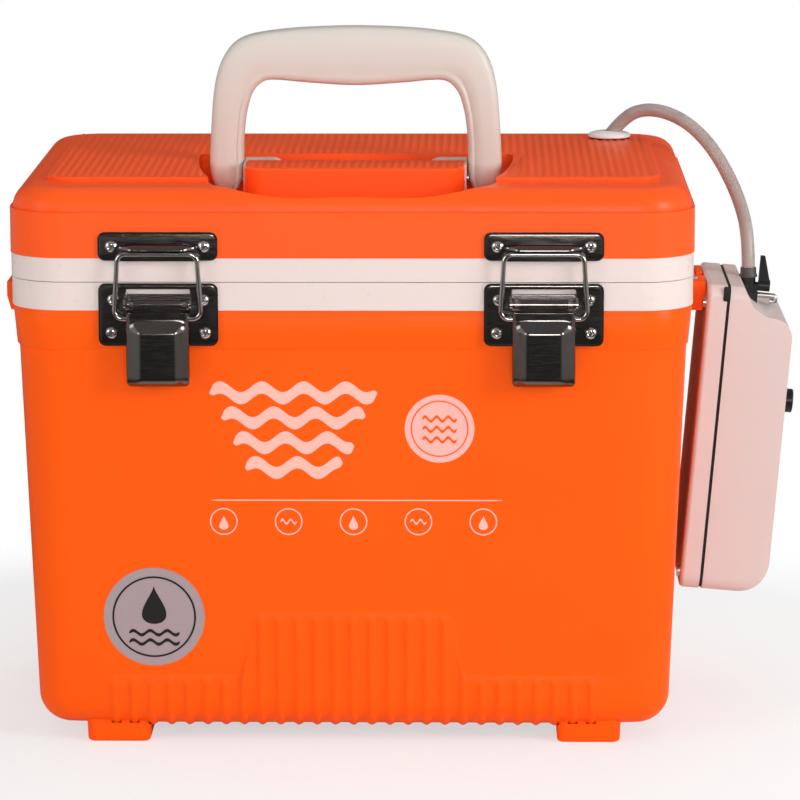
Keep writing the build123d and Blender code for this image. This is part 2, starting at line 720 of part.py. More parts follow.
with BuildPart() as handle:
    with BuildSketch(Plane.XZ.offset(-handle_y)):
        with BuildLine():
            bottom_z = handle_pivot_z - handle_depth
            shoulder_z = handle_pivot_z + handle_shoulder
            outer_leg = Line((handle_half, bottom_z), (handle_half, shoulder_z))
            outer_bend = Spline(
                outer_leg @ 1,
                (handle_half - 1.7, handle_pivot_z + grip_top - 31.6),
                (handle_half - 6.5, handle_pivot_z + grip_top - 13.3),
                (handle_half - 18.2, handle_pivot_z + grip_top - 3.9),
                tangents=((0, 1), (-1, 0.22)),
            )
            Spline(outer_bend @ 1, (0, handle_pivot_z + grip_top), tangents=(outer_bend % 1, (-1, 0)))
            inner_leg = Line((handle_inner_half, bottom_z), (handle_inner_half, shoulder_z))
            inner_bend = Spline(
                inner_leg @ 1,
                (handle_inner_half - 1.5, handle_pivot_z + grip_under - 12.6),
                (handle_inner_half - 3.6, handle_pivot_z + grip_under - 4.1),
                (handle_inner_half - 10.1, handle_pivot_z + grip_under + 2.1),
                tangents=((0, 1), (-1, 0)),
            )
            Spline(inner_bend @ 1, (0, handle_pivot_z + grip_under), tangents=((-1, -0.1), (-1, 0)))
            Line(outer_leg @ 0, inner_leg @ 0)
            mirror(about=Plane.YZ)
        make_face()
    extrude(amount=handle_depth / 2, both=True)
    with BuildSketch(Plane.YZ):
        with Locations((handle_y, handle_pivot_z)):
            Circle(handle_depth / 2)
        with Locations((handle_y, handle_pivot_z + grip_top / 2)):
            Rectangle(handle_depth, grip_top + 2)
    extrude(amount=rim_length, both=True, mode=Mode.INTERSECT)
    for way in (-1, 1):
        with BuildSketch(Plane.YZ.offset(way * (handle_inner_half - 1.0))):
            with Locations((handle_y, handle_pivot_z)):
                Circle(handle_pin_radius + running_fit)
        extrude(amount=way * (handle_pin_outer - handle_inner_half + 1.5), mode=Mode.SUBTRACT)
handle.part.label = "handle"
export_step(handle.part, "parts/handle.step")

# ---------------------------------------------------------------- draw latches
strike_face = lid_front_plane.offset(plate_thickness)
base_face = front_plane.offset(plate_thickness)
pivot_z = seam_z - pivot_drop
pivot_y = -(band_y + plate_thickness + pivot_reach)
bail_z = seam_z - bail_drop
bail_top_z = seam_z + bail_rise
bail_y = -(half_y + plate_thickness + lip_reach + bail_gap + bail_wire / 2)
lever_top_z = seam_z - lever_top_drop
lever_bottom_z = seam_z - lever_bottom_drop
lever_back_y = -(band_y + plate_thickness + lever_back_gap)
neck_face_y = pivot_y - barrel_radius
pillow_y = neck_face_y - lever_bulge
pillow_slope = lever_bulge
lip_low_z = strike_z - strike_height / 2

for side, place in (("left", latch_places[0]), ("right", latch_places[1])):
    with BuildPart() as strike:
        with BuildSketch(lid_front_plane):
            with Locations((place, strike_z)):
                RectangleRounded(strike_length, strike_height, plate_corner)
            with Locations(*strike_screws):
                Circle(screw_hole, mode=Mode.SUBTRACT)
        extrude(amount=plate_thickness)
        with BuildSketch(Plane.YZ.offset(place)):
            with BuildLine():
                lip_y = -(half_y + plate_thickness)
                Polyline(
                    (lip_y + plate_thickness / 2, lip_low_z),
                    (lip_y - lip_reach, lip_low_z),
                    (lip_y - lip_reach, lip_low_z + lip_height),
                    (lip_y - lip_reach + lip_thickness, lip_low_z + lip_height),
                    (lip_y - lip_reach + lip_thickness, lip_low_z + lip_thickness),
                    (lip_y + plate_thickness / 2, lip_low_z + lip_thickness),
                    close=True,
                )
            make_face()
        extrude(amount=lip_length / 2, both=True)
    strike.part.label = f"strike_{side}"
    export_step(strike.part, f"parts/strike_{side}.step")

    with BuildPart() as latch_base:
        with BuildSketch(front_plane):
            with Locations((place, base_z)):
                RectangleRounded(base_length, base_height, plate_corner)
            with Locations((place, seam_z - window_drop)):
                Rectangle(window_length, window_height, mode=Mode.SUBTRACT)
            with Locations(*base_screws):
                Circle(screw_hole, mode=Mode.SUBTRACT)
        extrude(amount=plate_thickness)
        for way in (-1, 1):
            ear_x = place + way * (ear_spread - ear_thickness) / 2
            with BuildSketch(Plane.YZ.offset(ear_x)):
                with Locations((pivot_y, pivot_z)):
                    Circle(ear_size / 2)
                with Locations(((pivot_y - band_y - plate_thickness / 2) / 2, pivot_z)):
                    Rectangle(-pivot_y - band_y - plate_thickness / 2, ear_size)
            extrude(amount=ear_thickness / 2, both=True)
            with BuildSketch(Plane.YZ.offset(ear_x - ear_thickness)):
                with Locations((pivot_y, pivot_z)):
                    Circle(latch_pin_radius + running_fit)
            extrude(amount=2 * ear_thickness, mode=Mode.SUBTRACT)
    latch_base.part.label = f"latch_{side}_base"
    export_step(latch_base.part, f"parts/latch_{side}_base.step")

    with BuildPart() as latch_pin:
        with BuildSketch(Plane.YZ.offset(place)):
            with Locations((pivot_y, pivot_z)):
                Circle(latch_pin_radius)
        extrude(amount=ear_spread / 2 + latch_rivet_height, both=True)
        for way in (-1, 1):
            with BuildSketch(Plane.YZ.offset(place + way * ear_spread / 2)):
                with Locations((pivot_y, pivot_z)):
                    Circle(latch_rivet_radius)
            extrude(amount=way * latch_rivet_height)
    latch_pin.part.label = f"latch_{side}_pin"
    export_step(latch_pin.part, f"parts/latch_{side}_pin.step")

    with BuildPart() as lever:
        with BuildSketch(Plane.YZ.offset(place)):
            with BuildLine():
                Polyline(
                    (lever_back_y, lever_top_z),
                    (neck_face_y, lever_top_z),
                    (neck_face_y, bail_z - bail_wire),
                    (pillow_y, bail_z - bail_wire - pillow_slope),
                    (pillow_y, lever_bottom_z + lever_lip + pillow_slope),
                    (neck_face_y, lever_bottom_z + lever_lip),
                    (neck_face_y, lever_bottom_z),
                    (lever_back_y, lever_bottom_z),
                    close=True,
                )
            make_face()
        extrude(amount=lever_length / 2, both=True)
        fillet(lever.edges().filter_by(Axis.Y).group_by(Axis.Z)[0], radius=plate_corner)
        with BuildSketch(Plane.YZ.offset(place)):
            with BuildLine():
                wall_y = neck_face_y + lever_wall
                Polyline(
                    (lever_back_y, lever_top_z),
                    (wall_y, lever_top_z),
                    (wall_y, bail_z - bail_wire - lever_wall / 2),
                    (pillow_y + lever_wall, bail_z - bail_wire - pillow_slope - lever_wall / 2),
                    (pillow_y + lever_wall, lever_bottom_z + lever_lip + pillow_slope + lever_wall / 2),
                    (wall_y, lever_bottom_z + lever_lip + lever_wall / 2),
                    (lever_back_y, lever_bottom_z + lever_lip + lever_wall / 2),
                    close=True,
                )
            make_face()
        extrude(amount=lever_length / 2 - lever_wall, both=True, mode=Mode.SUBTRACT)
        with BuildSketch(Plane.YZ.offset(place)):
            with Locations((pivot_y, pivot_z)):
                Circle(barrel_radius)
            with Locations((neck_face_y + lever_wall / 2, (pivot_z + lever_top_z) / 2 - lever_wall / 2)):
                Rectangle(lever_wall, pivot_z - lever_top_z + lever_wall)
        extrude(amount=neck_length / 2, both=True)
        with BuildSketch(Plane.YZ.offset(place)):
            with Locations((pivot_y, pivot_z)):
                Circle(latch_pin_radius + running_fit)
            with Locations((bail_y, bail_z)):
                Circle(bail_wire / 2 + running_fit)
        extrude(amount=lever_length, both=True, mode=Mode.SUBTRACT)
    lever.part.label = f"latch_{side}_lever"
    export_step(lever.part, f"parts/latch_{side}_lever.step")

    with BuildPart() as bail:
        with BuildLine(Plane.XZ.offset(-bail_y)) as bail_line:
            FilletPolyline(
                (place - bail_end_x, bail_z),
                (place - bail_bottom_length / 2, bail_z),
                (place - bail_top_length / 2, bail_top_z),
                (place + bail_top_length / 2, bail_top_z),
                (place + bail_bottom_length / 2, bail_z),
                (place + bail_end_x, bail_z),
                radius=bail_bend,
            )
        with BuildSketch(Plane(origin=bail_line.line @ 0, z_dir=bail_line.line % 0)):
            Circle(bail_wire / 2)
        sweep()
    bail.part.label = f"latch_{side}_bail"
    export_step(bail.part, f"parts/latch_{side}_bail.step")


shank = plate_thickness + screw_length
for name, plane, places in (
    ("strike_screws", strike_face, strike_screws),
    ("latch_base_screws", base_face, base_screws),
    ("hinge_lid_screws", lid_rear_plane.offset(leaf_thickness), hinge_lid_screws),
    ("hinge_body_screws", rear_plane.offset(leaf_thickness), hinge_body_screws),
):
    with BuildPart() as screws:
        with BuildSketch(plane):
            with Locations(*places):
                Circle(screw_head_radius)
        extrude(amount=screw_head_height)
        heads = screws.faces().filter_by(GeomType.PLANE).group_by(SortBy.AREA)[-1]
        outer_way = Axis(plane.origin, plane.z_dir)
        fillet(heads.group_by(outer_way)[-1].edges(), radius=screw_head_height - 0.3)
        with BuildSketch(plane):
            with Locations(*places):
                Circle(screw_radius)
        extrude(amount=-shank)
    screws.part.label = name
    export_step(screws.part, f"parts/{name}.step")

# ---------------------------------------------------------------- hinges
knuckle_side = (leaf_length - knuckle_middle) / 2 - knuckle_gap
knuckle_offset = (leaf_length - knuckle_side) / 2
leaf_root = leaf_start + plate_corner
leaf_kinds = (
    ("body", rear_plane, -1, ((-knuckle_offset, knuckle_side), (knuckle_offset, knuckle_side))),
    ("lid", lid_rear_plane, 1, ((0.0, knuckle_middle),)),
)
leaf_screws = [(-x, z) for x, z in hinge_lid_screws + hinge_body_screws]
for side, place in (("left", hinge_places[0]), ("right", hinge_places[1])):
    for leaf, plane, way, knuckles in leaf_kinds:
        tongue_z = seam_z + way * (leaf_root + leaf_lead) / 2
        with BuildPart() as hinge_leaf:
            with BuildSketch(plane):
                with Locations((-place, seam_z + way * (leaf_start + leaf_height / 2))):
                    RectangleRounded(leaf_length, leaf_height, plate_corner)
                with Locations((-place, seam_z + way * (leaf_start + plate_corner))):
                    Rectangle(leaf_length, 2 * plate_corner)
                with Locations(*leaf_screws):
                    Circle(screw_hole, mode=Mode.SUBTRACT)
            extrude(amount=leaf_thickness)
            for middle, span in knuckles:
                with BuildSketch(Plane.YZ.offset(place + middle)):
                    with Locations((hinge_y, seam_z)):
                        Circle(knuckle_radius)
                    with Locations((plane.origin.Y + leaf_thickness / 2, tongue_z)):
                        Rectangle(leaf_thickness, leaf_root - leaf_lead)
                extrude(amount=span / 2, both=True)
            with BuildSketch(Plane.YZ.offset(place)):
                with Locations((hinge_y, seam_z)):
                    Circle(hinge_pin_radius + running_fit)
            extrude(amount=leaf_length, both=True, mode=Mode.SUBTRACT)
        hinge_leaf.part.label = f"hinge_{side}_{leaf}_leaf"
        export_step(hinge_leaf.part, f"parts/hinge_{side}_{leaf}_leaf.step")

with BuildPart() as hinge_pins:
    for place in hinge_places:
        with BuildSketch(Plane.YZ.offset(place)):
            with Locations((hinge_y, seam_z)):
                Circle(hinge_pin_radius)
        extrude(amount=leaf_length / 2 + knuckle_gap, both=True)
        for way in (-1, 1):
            with BuildSketch(Plane.YZ.offset(place + way * leaf_length / 2)):
                with Locations((hinge_y, seam_z)):
                    Circle(knuckle_radius - 2 * knuckle_gap)
            extrude(amount=way * 4 * knuckle_gap)
hinge_pins.part.label = "hinge_pins"
export_step(hinge_pins.part, "parts/hinge_pins.step")

# ================================================================== air pump
tilt = radians(pump_tilt)
pump_out = Vector(cos(tilt), 0, -sin(tilt))
pump_up = Vector(sin(tilt), 0, cos(tilt))
pump_origin = Vector(pump_top_x, 0, pump_top_z)
pump_face = Plane(origin=pump_origin, x_dir=(0, 1, 0), z_dir=pump_out)  # x along Y, y up
pump_side = Plane(origin=pump_origin, x_dir=pump_out, z_dir=(0, -1, 0))  # x outwards, y up
pump_level = Plane(origin=pump_origin, x_dir=pump_out, z_dir=pump_up)  # x outwards, y along Y
half_gasket = pump_gasket / 2
shoulder = ((6.6, 0.0), (11.2, -8.4), (17.5, -12.3), (pump_front_depth, -12.9))
shoulder_radii = (1.4, 9.0, 10.0, 9.0)
back_face = -pump_back_depth
back_inside = back_face + pump_wall
front_inside = pump_front_depth - pump_wall
inner_bottom = -pump_height + pump_wall

pump_blanks = {}
for blank_name, inset in (("outside", 0.0), ("inside", pump_wall)):
    with BuildPart() as pump_blank:
        with BuildSketch(pump_side):
            with BuildLine():
                case = FilletPolyline(
                    (half_gasket - inset, 0),
                    *shoulder,
                    (pump_front_depth, -pump_height),
                    (half_gasket - inset, -pump_height),
                    radius=(*shoulder_radii, pump_nose_radius),
                )
                Line(case @ 1, case @ 0)
            make_face()
            if inset:
                offset(amount=-inset)
        extrude(amount=pump_width, both=True)
        with BuildSketch(pump_face) as pump_sketch:
            with Locations((0, -pump_height / 2)):
                Rectangle(pump_width - 2 * inset, pump_height - 2 * inset)
            fillet(pump_sketch.vertices().group_by(Axis.Y)[-1], pump_top_corner - inset)
            fillet(pump_sketch.vertices().group_by(Axis.Y)[0], pump_bottom_corner - inset)
        extrude(amount=pump_front_depth, mode=Mode.INTERSECT)
    pump_blanks[blank_name] = pump_blank.part

pump_outlines = {}
outline_insets = {
    "outside": 0.0,
    "inside": pump_wall,
    "seal": gasket_inset,
    "seal_inside": gasket_inset + gasket_width,
}
for outline_name, inset in outline_insets.items():
    with BuildSketch() as outline:
        with Locations((0, -pump_height / 2)):
            Rectangle(pump_width - 2 * inset, pump_height - 2 * inset)
        fillet(outline.vertices().group_by(Axis.Y)[-1], max(pump_top_corner - inset, 1.0))
        fillet(outline.vertices().group_by(Axis.Y)[0], max(pump_bottom_corner - inset, 1.0))
    pump_outlines[outline_name] = outline.sketch

case_screws = [
    (way * case_screw_x, -drop) for way in (-1, 1) for drop in (case_screw_top, case_screw_bottom)
]
cell_middle = (back_inside + front_inside) / 2
outlet_drop = 7.2
stem_radius = outlet_radius - 0.6
with BuildPart() as case_bosses:
    with BuildSketch(pump_face.offset(half_gasket)):
        with Locations(*case_screws):
            Circle(case_boss_radius)
    extrude(amount=pump_front_depth)
    add(pump_blanks["outside"], mode=Mode.INTERSECT)

with BuildPart() as pump_front_shell:
    add(pump_blanks["outside"])
    add(pump_blanks["inside"], mode=Mode.SUBTRACT)
    add(case_bosses.part)
    with BuildSketch(pump_face.offset(half_gasket)):
        with Locations(*case_screws):
            Circle(case_screw_radius)
    extrude(amount=case_screw_length - pump_back_depth, mode=Mode.SUBTRACT)
    with BuildSketch(pump_face.offset(pump_front_depth - 2 * pump_wall)):
        with Locations((button_side, -button_drop)):
            Circle(button_radius + button_fit)
    extrude(amount=3 * pump_wall, mode=Mode.SUBTRACT)
    with BuildSketch(pump_level):
        with Locations((outlet_reach, 0)):
            Circle(stem_radius + foam_fit)
    extrude(amount=-3 * outlet_drop, mode=Mode.SUBTRACT)
pump_front_shell.part.label = "pump_front_shell"
export_step(pump_front_shell.part, "parts/pump_front_shell.step")

with BuildPart() as pump_back_shell:
    with BuildSketch(pump_face.offset(-half_gasket)):
        add(pump_outlines["outside"])
    extrude(amount=half_gasket - pump_back_depth)
    fillet(pump_back_shell.faces().sort_by(Axis(pump_origin, pump_out))[0].edges(), radius=pump_edge)
    with BuildSketch(pump_face.offset(-half_gasket)):
        add(pump_outlines["inside"])
    extrude(amount=half_gasket - pump_back_depth + pump_wall, mode=Mode.SUBTRACT)
    with BuildSketch(pump_face.offset(-half_gasket)):
        with Locations(*case_screws):
            Circle(case_boss_radius)
    extrude(amount=half_gasket - pump_back_depth + pump_wall)
    with BuildSketch(pump_face.offset(-half_gasket)):
        with Locations(*case_screws):
            Circle(case_screw_radius + screw_hole_fit)
    extrude(amount=-pump_back_depth, mode=Mode.SUBTRACT)
pump_back_shell.part.label = "pump_back_shell"
export_step(pump_back_shell.part, "parts/pump_back_shell.step")

with BuildPart() as pump_seal:
    with BuildSketch(pump_face.offset(-half_gasket)):
        add(pump_outlines["seal"])
    extrude(amount=pump_gasket)
    with BuildSketch(pump_face.offset(-half_gasket)):
        add(pump_outlines["seal_inside"])
    extrude(amount=pump_gasket, mode=Mode.SUBTRACT)
    with BuildSketch(pump_face.offset(-half_gasket)):
        with Locations(*case_screws):
            Circle(case_boss_radius)
    extrude(amount=pump_gasket)
    with BuildSketch(pump_face.offset(-half_gasket)):
        with Locations(*case_screws):
            Circle(case_screw_radius + screw_hole_fit)
    extrude(amount=pump_gasket, mode=Mode.SUBTRACT)
pump_seal.part.label = "pump_gasket"
export_step(pump_seal.part, "parts/pump_gasket.step")

with BuildPart() as case_screw_set:
    with BuildSketch(pump_face.offset(back_face)):
        with Locations(*case_screws):
            Circle(screw_head_radius)
    extrude(amount=-screw_head_height)
    with BuildSketch(pump_face.offset(back_face)):
        with Locations(*case_screws):
            Circle(case_screw_radius)
    extrude(amount=case_screw_length)
case_screw_set.part.label = "pump_case_screws"
export_step(case_screw_set.part, "parts/pump_case_screws.step")

cell_places = [(cell_middle, way * (cell_radius + cell_gap / 2)) for way in (-1, 1)]
with BuildPart() as pump_cells:
    with BuildSketch(pump_level.offset(-cell_top)):
        with Locations(*cell_places):
            Circle(cell_radius)
    extrude(amount=-cell_length)
pump_cells.part.label = "pump_batteries"
export_step(pump_cells.part, "parts/pump_batteries.step")

with BuildPart() as contacts:
    with BuildSketch(pump_level.offset(-cell_top - cell_length)):
        with Locations(*cell_places):
            Circle(contact_radius)
    extrude(amount=inner_bottom + foam_fit + cell_top + cell_length)
    with BuildSketch(pump_level.offset(-cell_top)):
        with Locations(*cell_places):
            Rectangle(cell_radius, cell_radius)
    extrude(amount=cell_rib / 2)
contacts.part.label = "battery_contacts"
export_step(contacts.part, "parts/battery_contacts.step")

with BuildPart() as chassis:
    with BuildSketch(pump_level.offset(-cell_top + cell_rib / 2)):
        with Locations((cell_middle, 0)):
            Rectangle(front_inside - back_inside, pump_width - 2 * (gasket_inset + gasket_width + foam_fit))
    extrude(amount=cell_rib)
chassis.part.label = "pump_chassis"
export_step(chassis.part, "parts/pump_chassis.step")

with BuildPart() as air_head:
    with BuildSketch(pump_face.offset(back_inside)):
        with Locations((head_length / 2 - head_shift, -head_drop)):
            RectangleRounded(head_length, head_height, pump_edge)
    extrude(amount=head_depth)
air_head.part.label = "pump_air_head"
export_step(air_head.part, "parts/pump_air_head.step")

with BuildPart() as motor:
    motor_end = -head_shift
    with BuildSketch(Plane(origin=pump_origin, x_dir=pump_out, z_dir=(0, 1, 0)).offset(motor_end)):
        with Locations((back_inside + motor_radius, motor_drop)):
            Circle(motor_radius)
    extrude(amount=-motor_length)
motor.part.label = "pump_motor"
export_step(motor.part, "parts/pump_motor.step")

with BuildPart() as button:
    with BuildSketch(pump_face.offset(pump_front_depth + button_proud)):
        with Locations((button_side, -button_drop)):
            Circle(button_radius)
    extrude(amount=-button_length)
    fillet(button.faces().sort_by(Axis(pump_origin, pump_out))[-1].edges(), radius=0.8)
button.part.label = "pump_button"
export_step(button.part, "parts/pump_button.step")

with BuildPart() as switch:
    switch_face = pump_front_depth + button_proud - button_length - button_travel - button_fit
    with BuildSketch(pump_face.offset(switch_face)):
        with Locations((button_side, -button_drop)):
            Rectangle(switch_size, switch_size)
    extrude(amount=-switch_depth)
    with BuildSketch(pump_face.offset(switch_face)):
        with Locations((button_side, -button_drop + (switch_size - switch_arm) / 2)):
            Rectangle(switch_size, switch_arm)
    extrude(amount=front_inside - switch_face)
switch.part.label = "pump_switch_body"
export_step(switch.part, "parts/pump_switch_body.step")

# ---------------------------------------------------------------- outlet, valve, ring and hanger
outlet_back = outlet_reach - outlet_radius
with BuildPart() as outlet:
    for width, drop in ((outlet_neck_width, outlet_top_drop), (outlet_width, outlet_step_drop)):
        with BuildSketch(pump_side):
            with Locations(((outlet_back + outlet_face) / 2, -(drop + outlet_bottom_drop) / 2)):
                Rectangle(outlet_face - outlet_back, outlet_bottom_drop - drop)
        extrude(amount=width / 2, both=True)
    collar_base_z = pump_top_z - outlet_step_drop
    with BuildSketch(Plane.XY.offset(hose_end_z)):
        with Locations((hose_end_x, 0)):
            Circle(outlet_radius)
    extrude(amount=collar_base_z - hose_end_z)
    add(pump_blanks["outside"], mode=Mode.SUBTRACT)
    with BuildSketch(pump_level.offset(-outlet_step_drop)):
        with Locations((outlet_reach, 0)):
            Circle(stem_radius)
    extrude(amount=outlet_step_drop - inner_tube_drop)
    with BuildSketch(pump_face.offset(outlet_face)):
        with Locations((0, -valve_drop)):
            Circle(valve_pin_radius + running_fit)
    extrude(amount=-valve_pin_length - running_fit, mode=Mode.SUBTRACT)
outlet.part.label = "pump_outlet"
export_step(outlet.part, "parts/pump_outlet.step")

with BuildPart() as inner_tube:
    with BuildSketch(pump_level.offset(-inner_tube_drop)):
        with Locations((outlet_reach, 0)):
            Circle(hose_radius)
            Circle(hose_bore, mode=Mode.SUBTRACT)
    extrude(amount=inner_tube_drop - head_drop + head_height / 2)
inner_tube.part.label = "pump_inner_tube"
export_step(inner_tube.part, "parts/pump_inner_tube.step")

with BuildPart() as valve_lever:
    hub_start = outlet_face + running_gap
    with BuildSketch(pump_face.offset(hub_start)):
        with Locations((0, -valve_drop)):
            Circle(valve_hub_radius)
    extrude(amount=valve_hub_length)
    with BuildSketch(pump_side):
        with BuildLine():
            Polyline(
                (hub_start, -valve_drop),
                (hub_start, valve_tip_rise),
                (hub_start + valve_tip_width, valve_tip_rise),
                (hub_start + valve_hub_length, -valve_drop + valve_hub_radius / 2),
                (hub_start + valve_hub_length, -valve_drop),
                close=True,
            )
        make_face()
    extrude(amount=valve_blade / 2, both=True)
    with BuildSketch(pump_face.offset(hub_start)):
        with Locations((0, -valve_drop)):
            Circle(valve_pin_radius)
    extrude(amount=-valve_pin_length)
valve_lever.part.label = "pump_valve_lever"
export_step(valve_lever.part, "parts/pump_valve_lever.step")

with BuildPart() as hook_ring:
    with BuildLine(pump_side) as ring_line:
        FilletPolyline(
            (outlet_face, -ring_drop),
            (ring_reach, -ring_drop),
            (ring_reach, -ring_drop - ring_height),
            (ring_reach - ring_return, -ring_drop - ring_height),
            radius=ring_height / 2 - 0.05,
        )
    with BuildSketch(Plane(origin=ring_line.line @ 0, z_dir=ring_line.line % 0)):
        Circle(ring_wire)
    sweep()
hook_ring.part.label = "pump_hook_ring"
export_step(hook_ring.part, "parts/pump_hook_ring.step")

with BuildPart() as hanger:
    gate_z = shell_top_z - lug_height + lug_gate_floor
    clip_height = lug_height - lug_gate_floor - clip_fit * 5
    with BuildSketch(Plane.XY.offset(gate_z)):
        with Locations((lug_slot_x, 0)):
            Rectangle(lug_slot_width - 2 * clip_fit, clip_head_length)
        with Locations(((lug_slot_x + pump_top_x) / 2, 0)):
            Rectangle(pump_top_x - lug_slot_x, lug_gate - 2 * clip_fit)
    extrude(amount=clip_height)
    with BuildSketch(pump_face.offset(back_face)):
        with Locations((0, -pump_height / 2)):
            Rectangle(pump_width, 2 * pump_height)
    extrude(amount=2 * pump_back_depth, mode=Mode.SUBTRACT)
hanger.part.label = "pump_hanger_clip"
export_step(hanger.part, "parts/pump_hanger_clip.step")

# ================================================================== air line
disc_top_z = panel_z + seal_height + grommet_height
with BuildPart() as grommet_seal:
    with BuildSketch(Plane.XY.offset(panel_z)):
        with Locations((grommet_x, grommet_y)):
            Circle(seal_radius)
            Circle(grommet_sleeve + foam_fit, mode=Mode.SUBTRACT)
    extrude(amount=seal_height)
grommet_seal.part.label = "grommet_seal"
export_step(grommet_seal.part, "parts/grommet_seal.step")

with BuildPart() as grommet:
    with BuildSketch(Plane.XY.offset(panel_z + seal_height)):
        with Locations((grommet_x, grommet_y)):
            Circle(grommet_radius)
    extrude(amount=grommet_height)
    fillet(grommet.faces().sort_by(Axis.Z)[-1].edges(), radius=grommet_edge)
    with BuildSketch(Plane.XY.offset(panel_z + seal_height)):
        with Locations((grommet_x, grommet_y)):
            Circle(grommet_sleeve)
    extrude(amount=lid_floor_z - panel_z - seal_height)
    with BuildSketch(Plane.XY.offset(lid_floor_z)):
        with Locations((grommet_x, grommet_y)):
            Circle(drop_tube_radius)
    extrude(amount=border_z - lid_floor_z, mode=Mode.SUBTRACT)
grommet.part.label = "hose_grommet"
export_step(grommet.part, "parts/hose_grommet.step")

with BuildPart() as drop_tube:
    with BuildSketch(Plane.XY.offset(drop_tube_end_z)):
        with Locations((grommet_x, grommet_y)):
            Circle(drop_tube_radius)
            Circle(hose_bore, mode=Mode.SUBTRACT)
    extrude(amount=border_z - drop_tube_end_z)
drop_tube.part.label = "drop_tube"
export_step(drop_tube.part, "parts/drop_tube.step")

with BuildPart() as air_stone:
    with BuildSketch(Plane.XY.offset(drop_tube_end_z + tube_plug)):
        with Locations((grommet_x, grommet_y)):
            Circle(stone_radius)
    extrude(amount=-stone_height)
    with BuildSketch(Plane.XY.offset(drop_tube_end_z)):
        with Locations((grommet_x, grommet_y)):
            Circle(drop_tube_radius)
    extrude(amount=tube_plug, mode=Mode.SUBTRACT)
air_stone.part.label = "air_stone"
export_step(air_stone.part, "parts/air_stone.step")

hose_route = [
    (112.8, 60.3, 246.2),
    (121.0, 56.4, 258.6),
    (132.9, 51.1, 263.4),
    (147.2, 43.2, 259.8),
    (159.0, 33.6, 250.2),
    (167.8, 22.6, 236.6),
    (174.0, 9.6, 221.6),
    (hose_end_x, 0.0, 207.6),
    (hose_end_x, 0.0, hose_end_z),
]
hose_points = [Vector(*point) for point in hose_route]
hose_radii = []
for before, corner, after in zip(hose_points, hose_points[1:], hose_points[2:]):
    turn = (corner - before).get_angle(after - corner)
    shorter_run = min((corner - before).length, (after - corner).length)
    hose_radii.append(0.45 * shorter_run / tan(radians(turn / 2)))
with BuildPart() as air_hose:
    with BuildLine() as hose_line:
        FilletPolyline(*hose_points, radius=hose_radii)
    with BuildSketch(Plane(origin=hose_line.line @ 0, z_dir=hose_line.line % 0)):
        Circle(hose_radius)
    sweep()
    hose_volume = air_hose.part.volume
    with BuildSketch(Plane.XY.offset(disc_top_z)):
        with Locations((grommet_x, grommet_y)):
            Circle(grommet_radius)
    extrude(amount=-grommet_radius, mode=Mode.SUBTRACT)
air_hose.part.label = "air_hose"
export_step(air_hose.part, "parts/air_hose.step")
print("hose radii", [round(radius, 1) for radius in hose_radii])
hose_section = pi * hose_radius**2
print("hose volume over section times length", hose_volume / (hose_section * hose_line.wire().length))
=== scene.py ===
import logging
import math
from dataclasses import dataclass
from enum import Enum

import bmesh
import bpy
import numpy as np
from mathutils import Matrix


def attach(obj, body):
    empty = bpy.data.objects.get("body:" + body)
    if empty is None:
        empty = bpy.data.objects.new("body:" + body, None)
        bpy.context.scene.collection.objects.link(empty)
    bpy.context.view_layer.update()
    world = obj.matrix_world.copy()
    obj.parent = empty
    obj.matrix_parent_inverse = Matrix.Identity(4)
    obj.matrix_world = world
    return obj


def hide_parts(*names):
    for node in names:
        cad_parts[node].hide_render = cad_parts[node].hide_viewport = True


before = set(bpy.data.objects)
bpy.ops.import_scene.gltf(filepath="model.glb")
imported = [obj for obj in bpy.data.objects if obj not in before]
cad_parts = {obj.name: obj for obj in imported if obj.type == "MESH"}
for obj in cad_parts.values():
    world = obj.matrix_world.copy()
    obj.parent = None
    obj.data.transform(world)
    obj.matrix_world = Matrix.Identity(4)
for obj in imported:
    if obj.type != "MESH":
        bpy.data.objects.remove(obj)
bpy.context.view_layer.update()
log = logging.getLogger("bait_box")

MM = 0.001
TURN = 2 * math.pi
NEARLY_ONE = 0.9999  # keeps a root above 0 at a rounded end


class Body(Enum):
    """The rigid bodies that the new pieces ride on."""

    TUB = "tub"
    LID = "lid"
    HANDLE = "handle"
    LEFT_LEVER = "latch_left_lever"
    RIGHT_LEVER = "latch_right_lever"


def linear(red: int, green: int, blue: int) -> tuple[float, float, float, float]:
    """Turns a display colour into the renderer's linear one.

    Each channel c of 255 becomes c/12.92 below the knee and ((c + 0.055)/1.055) to the power 2.4 above it.

    Args:
        red: Red, 0 to 255.
        green: Green, 0 to 255.
        blue: Blue, 0 to 255.

    Returns:
        The linear colour with full alpha.
    """
    share = np.array([red, green, blue]) / 255
    value = np.where(share <= 0.04045, share / 12.92, ((share + 0.055) / 1.055) ** 2.4)
    return (*(float(v) for v in value), 1.0)


def shade(colour: tuple[float, ...], share: float) -> tuple[float, ...]:
    """Makes a linear colour lighter or darker by a share."""
    return (*(min(1.0, c * share) for c in colour[:3]), 1.0)


# ---------------------------------------------------------------- finishes
NOISE_MIDDLE = (0.3, 0.7)  # where most of a noise's values lie
MIX_COLOURS = (6, 7)  # the mix node's two colour inputs
MIX_RESULT = 2  # its colour output


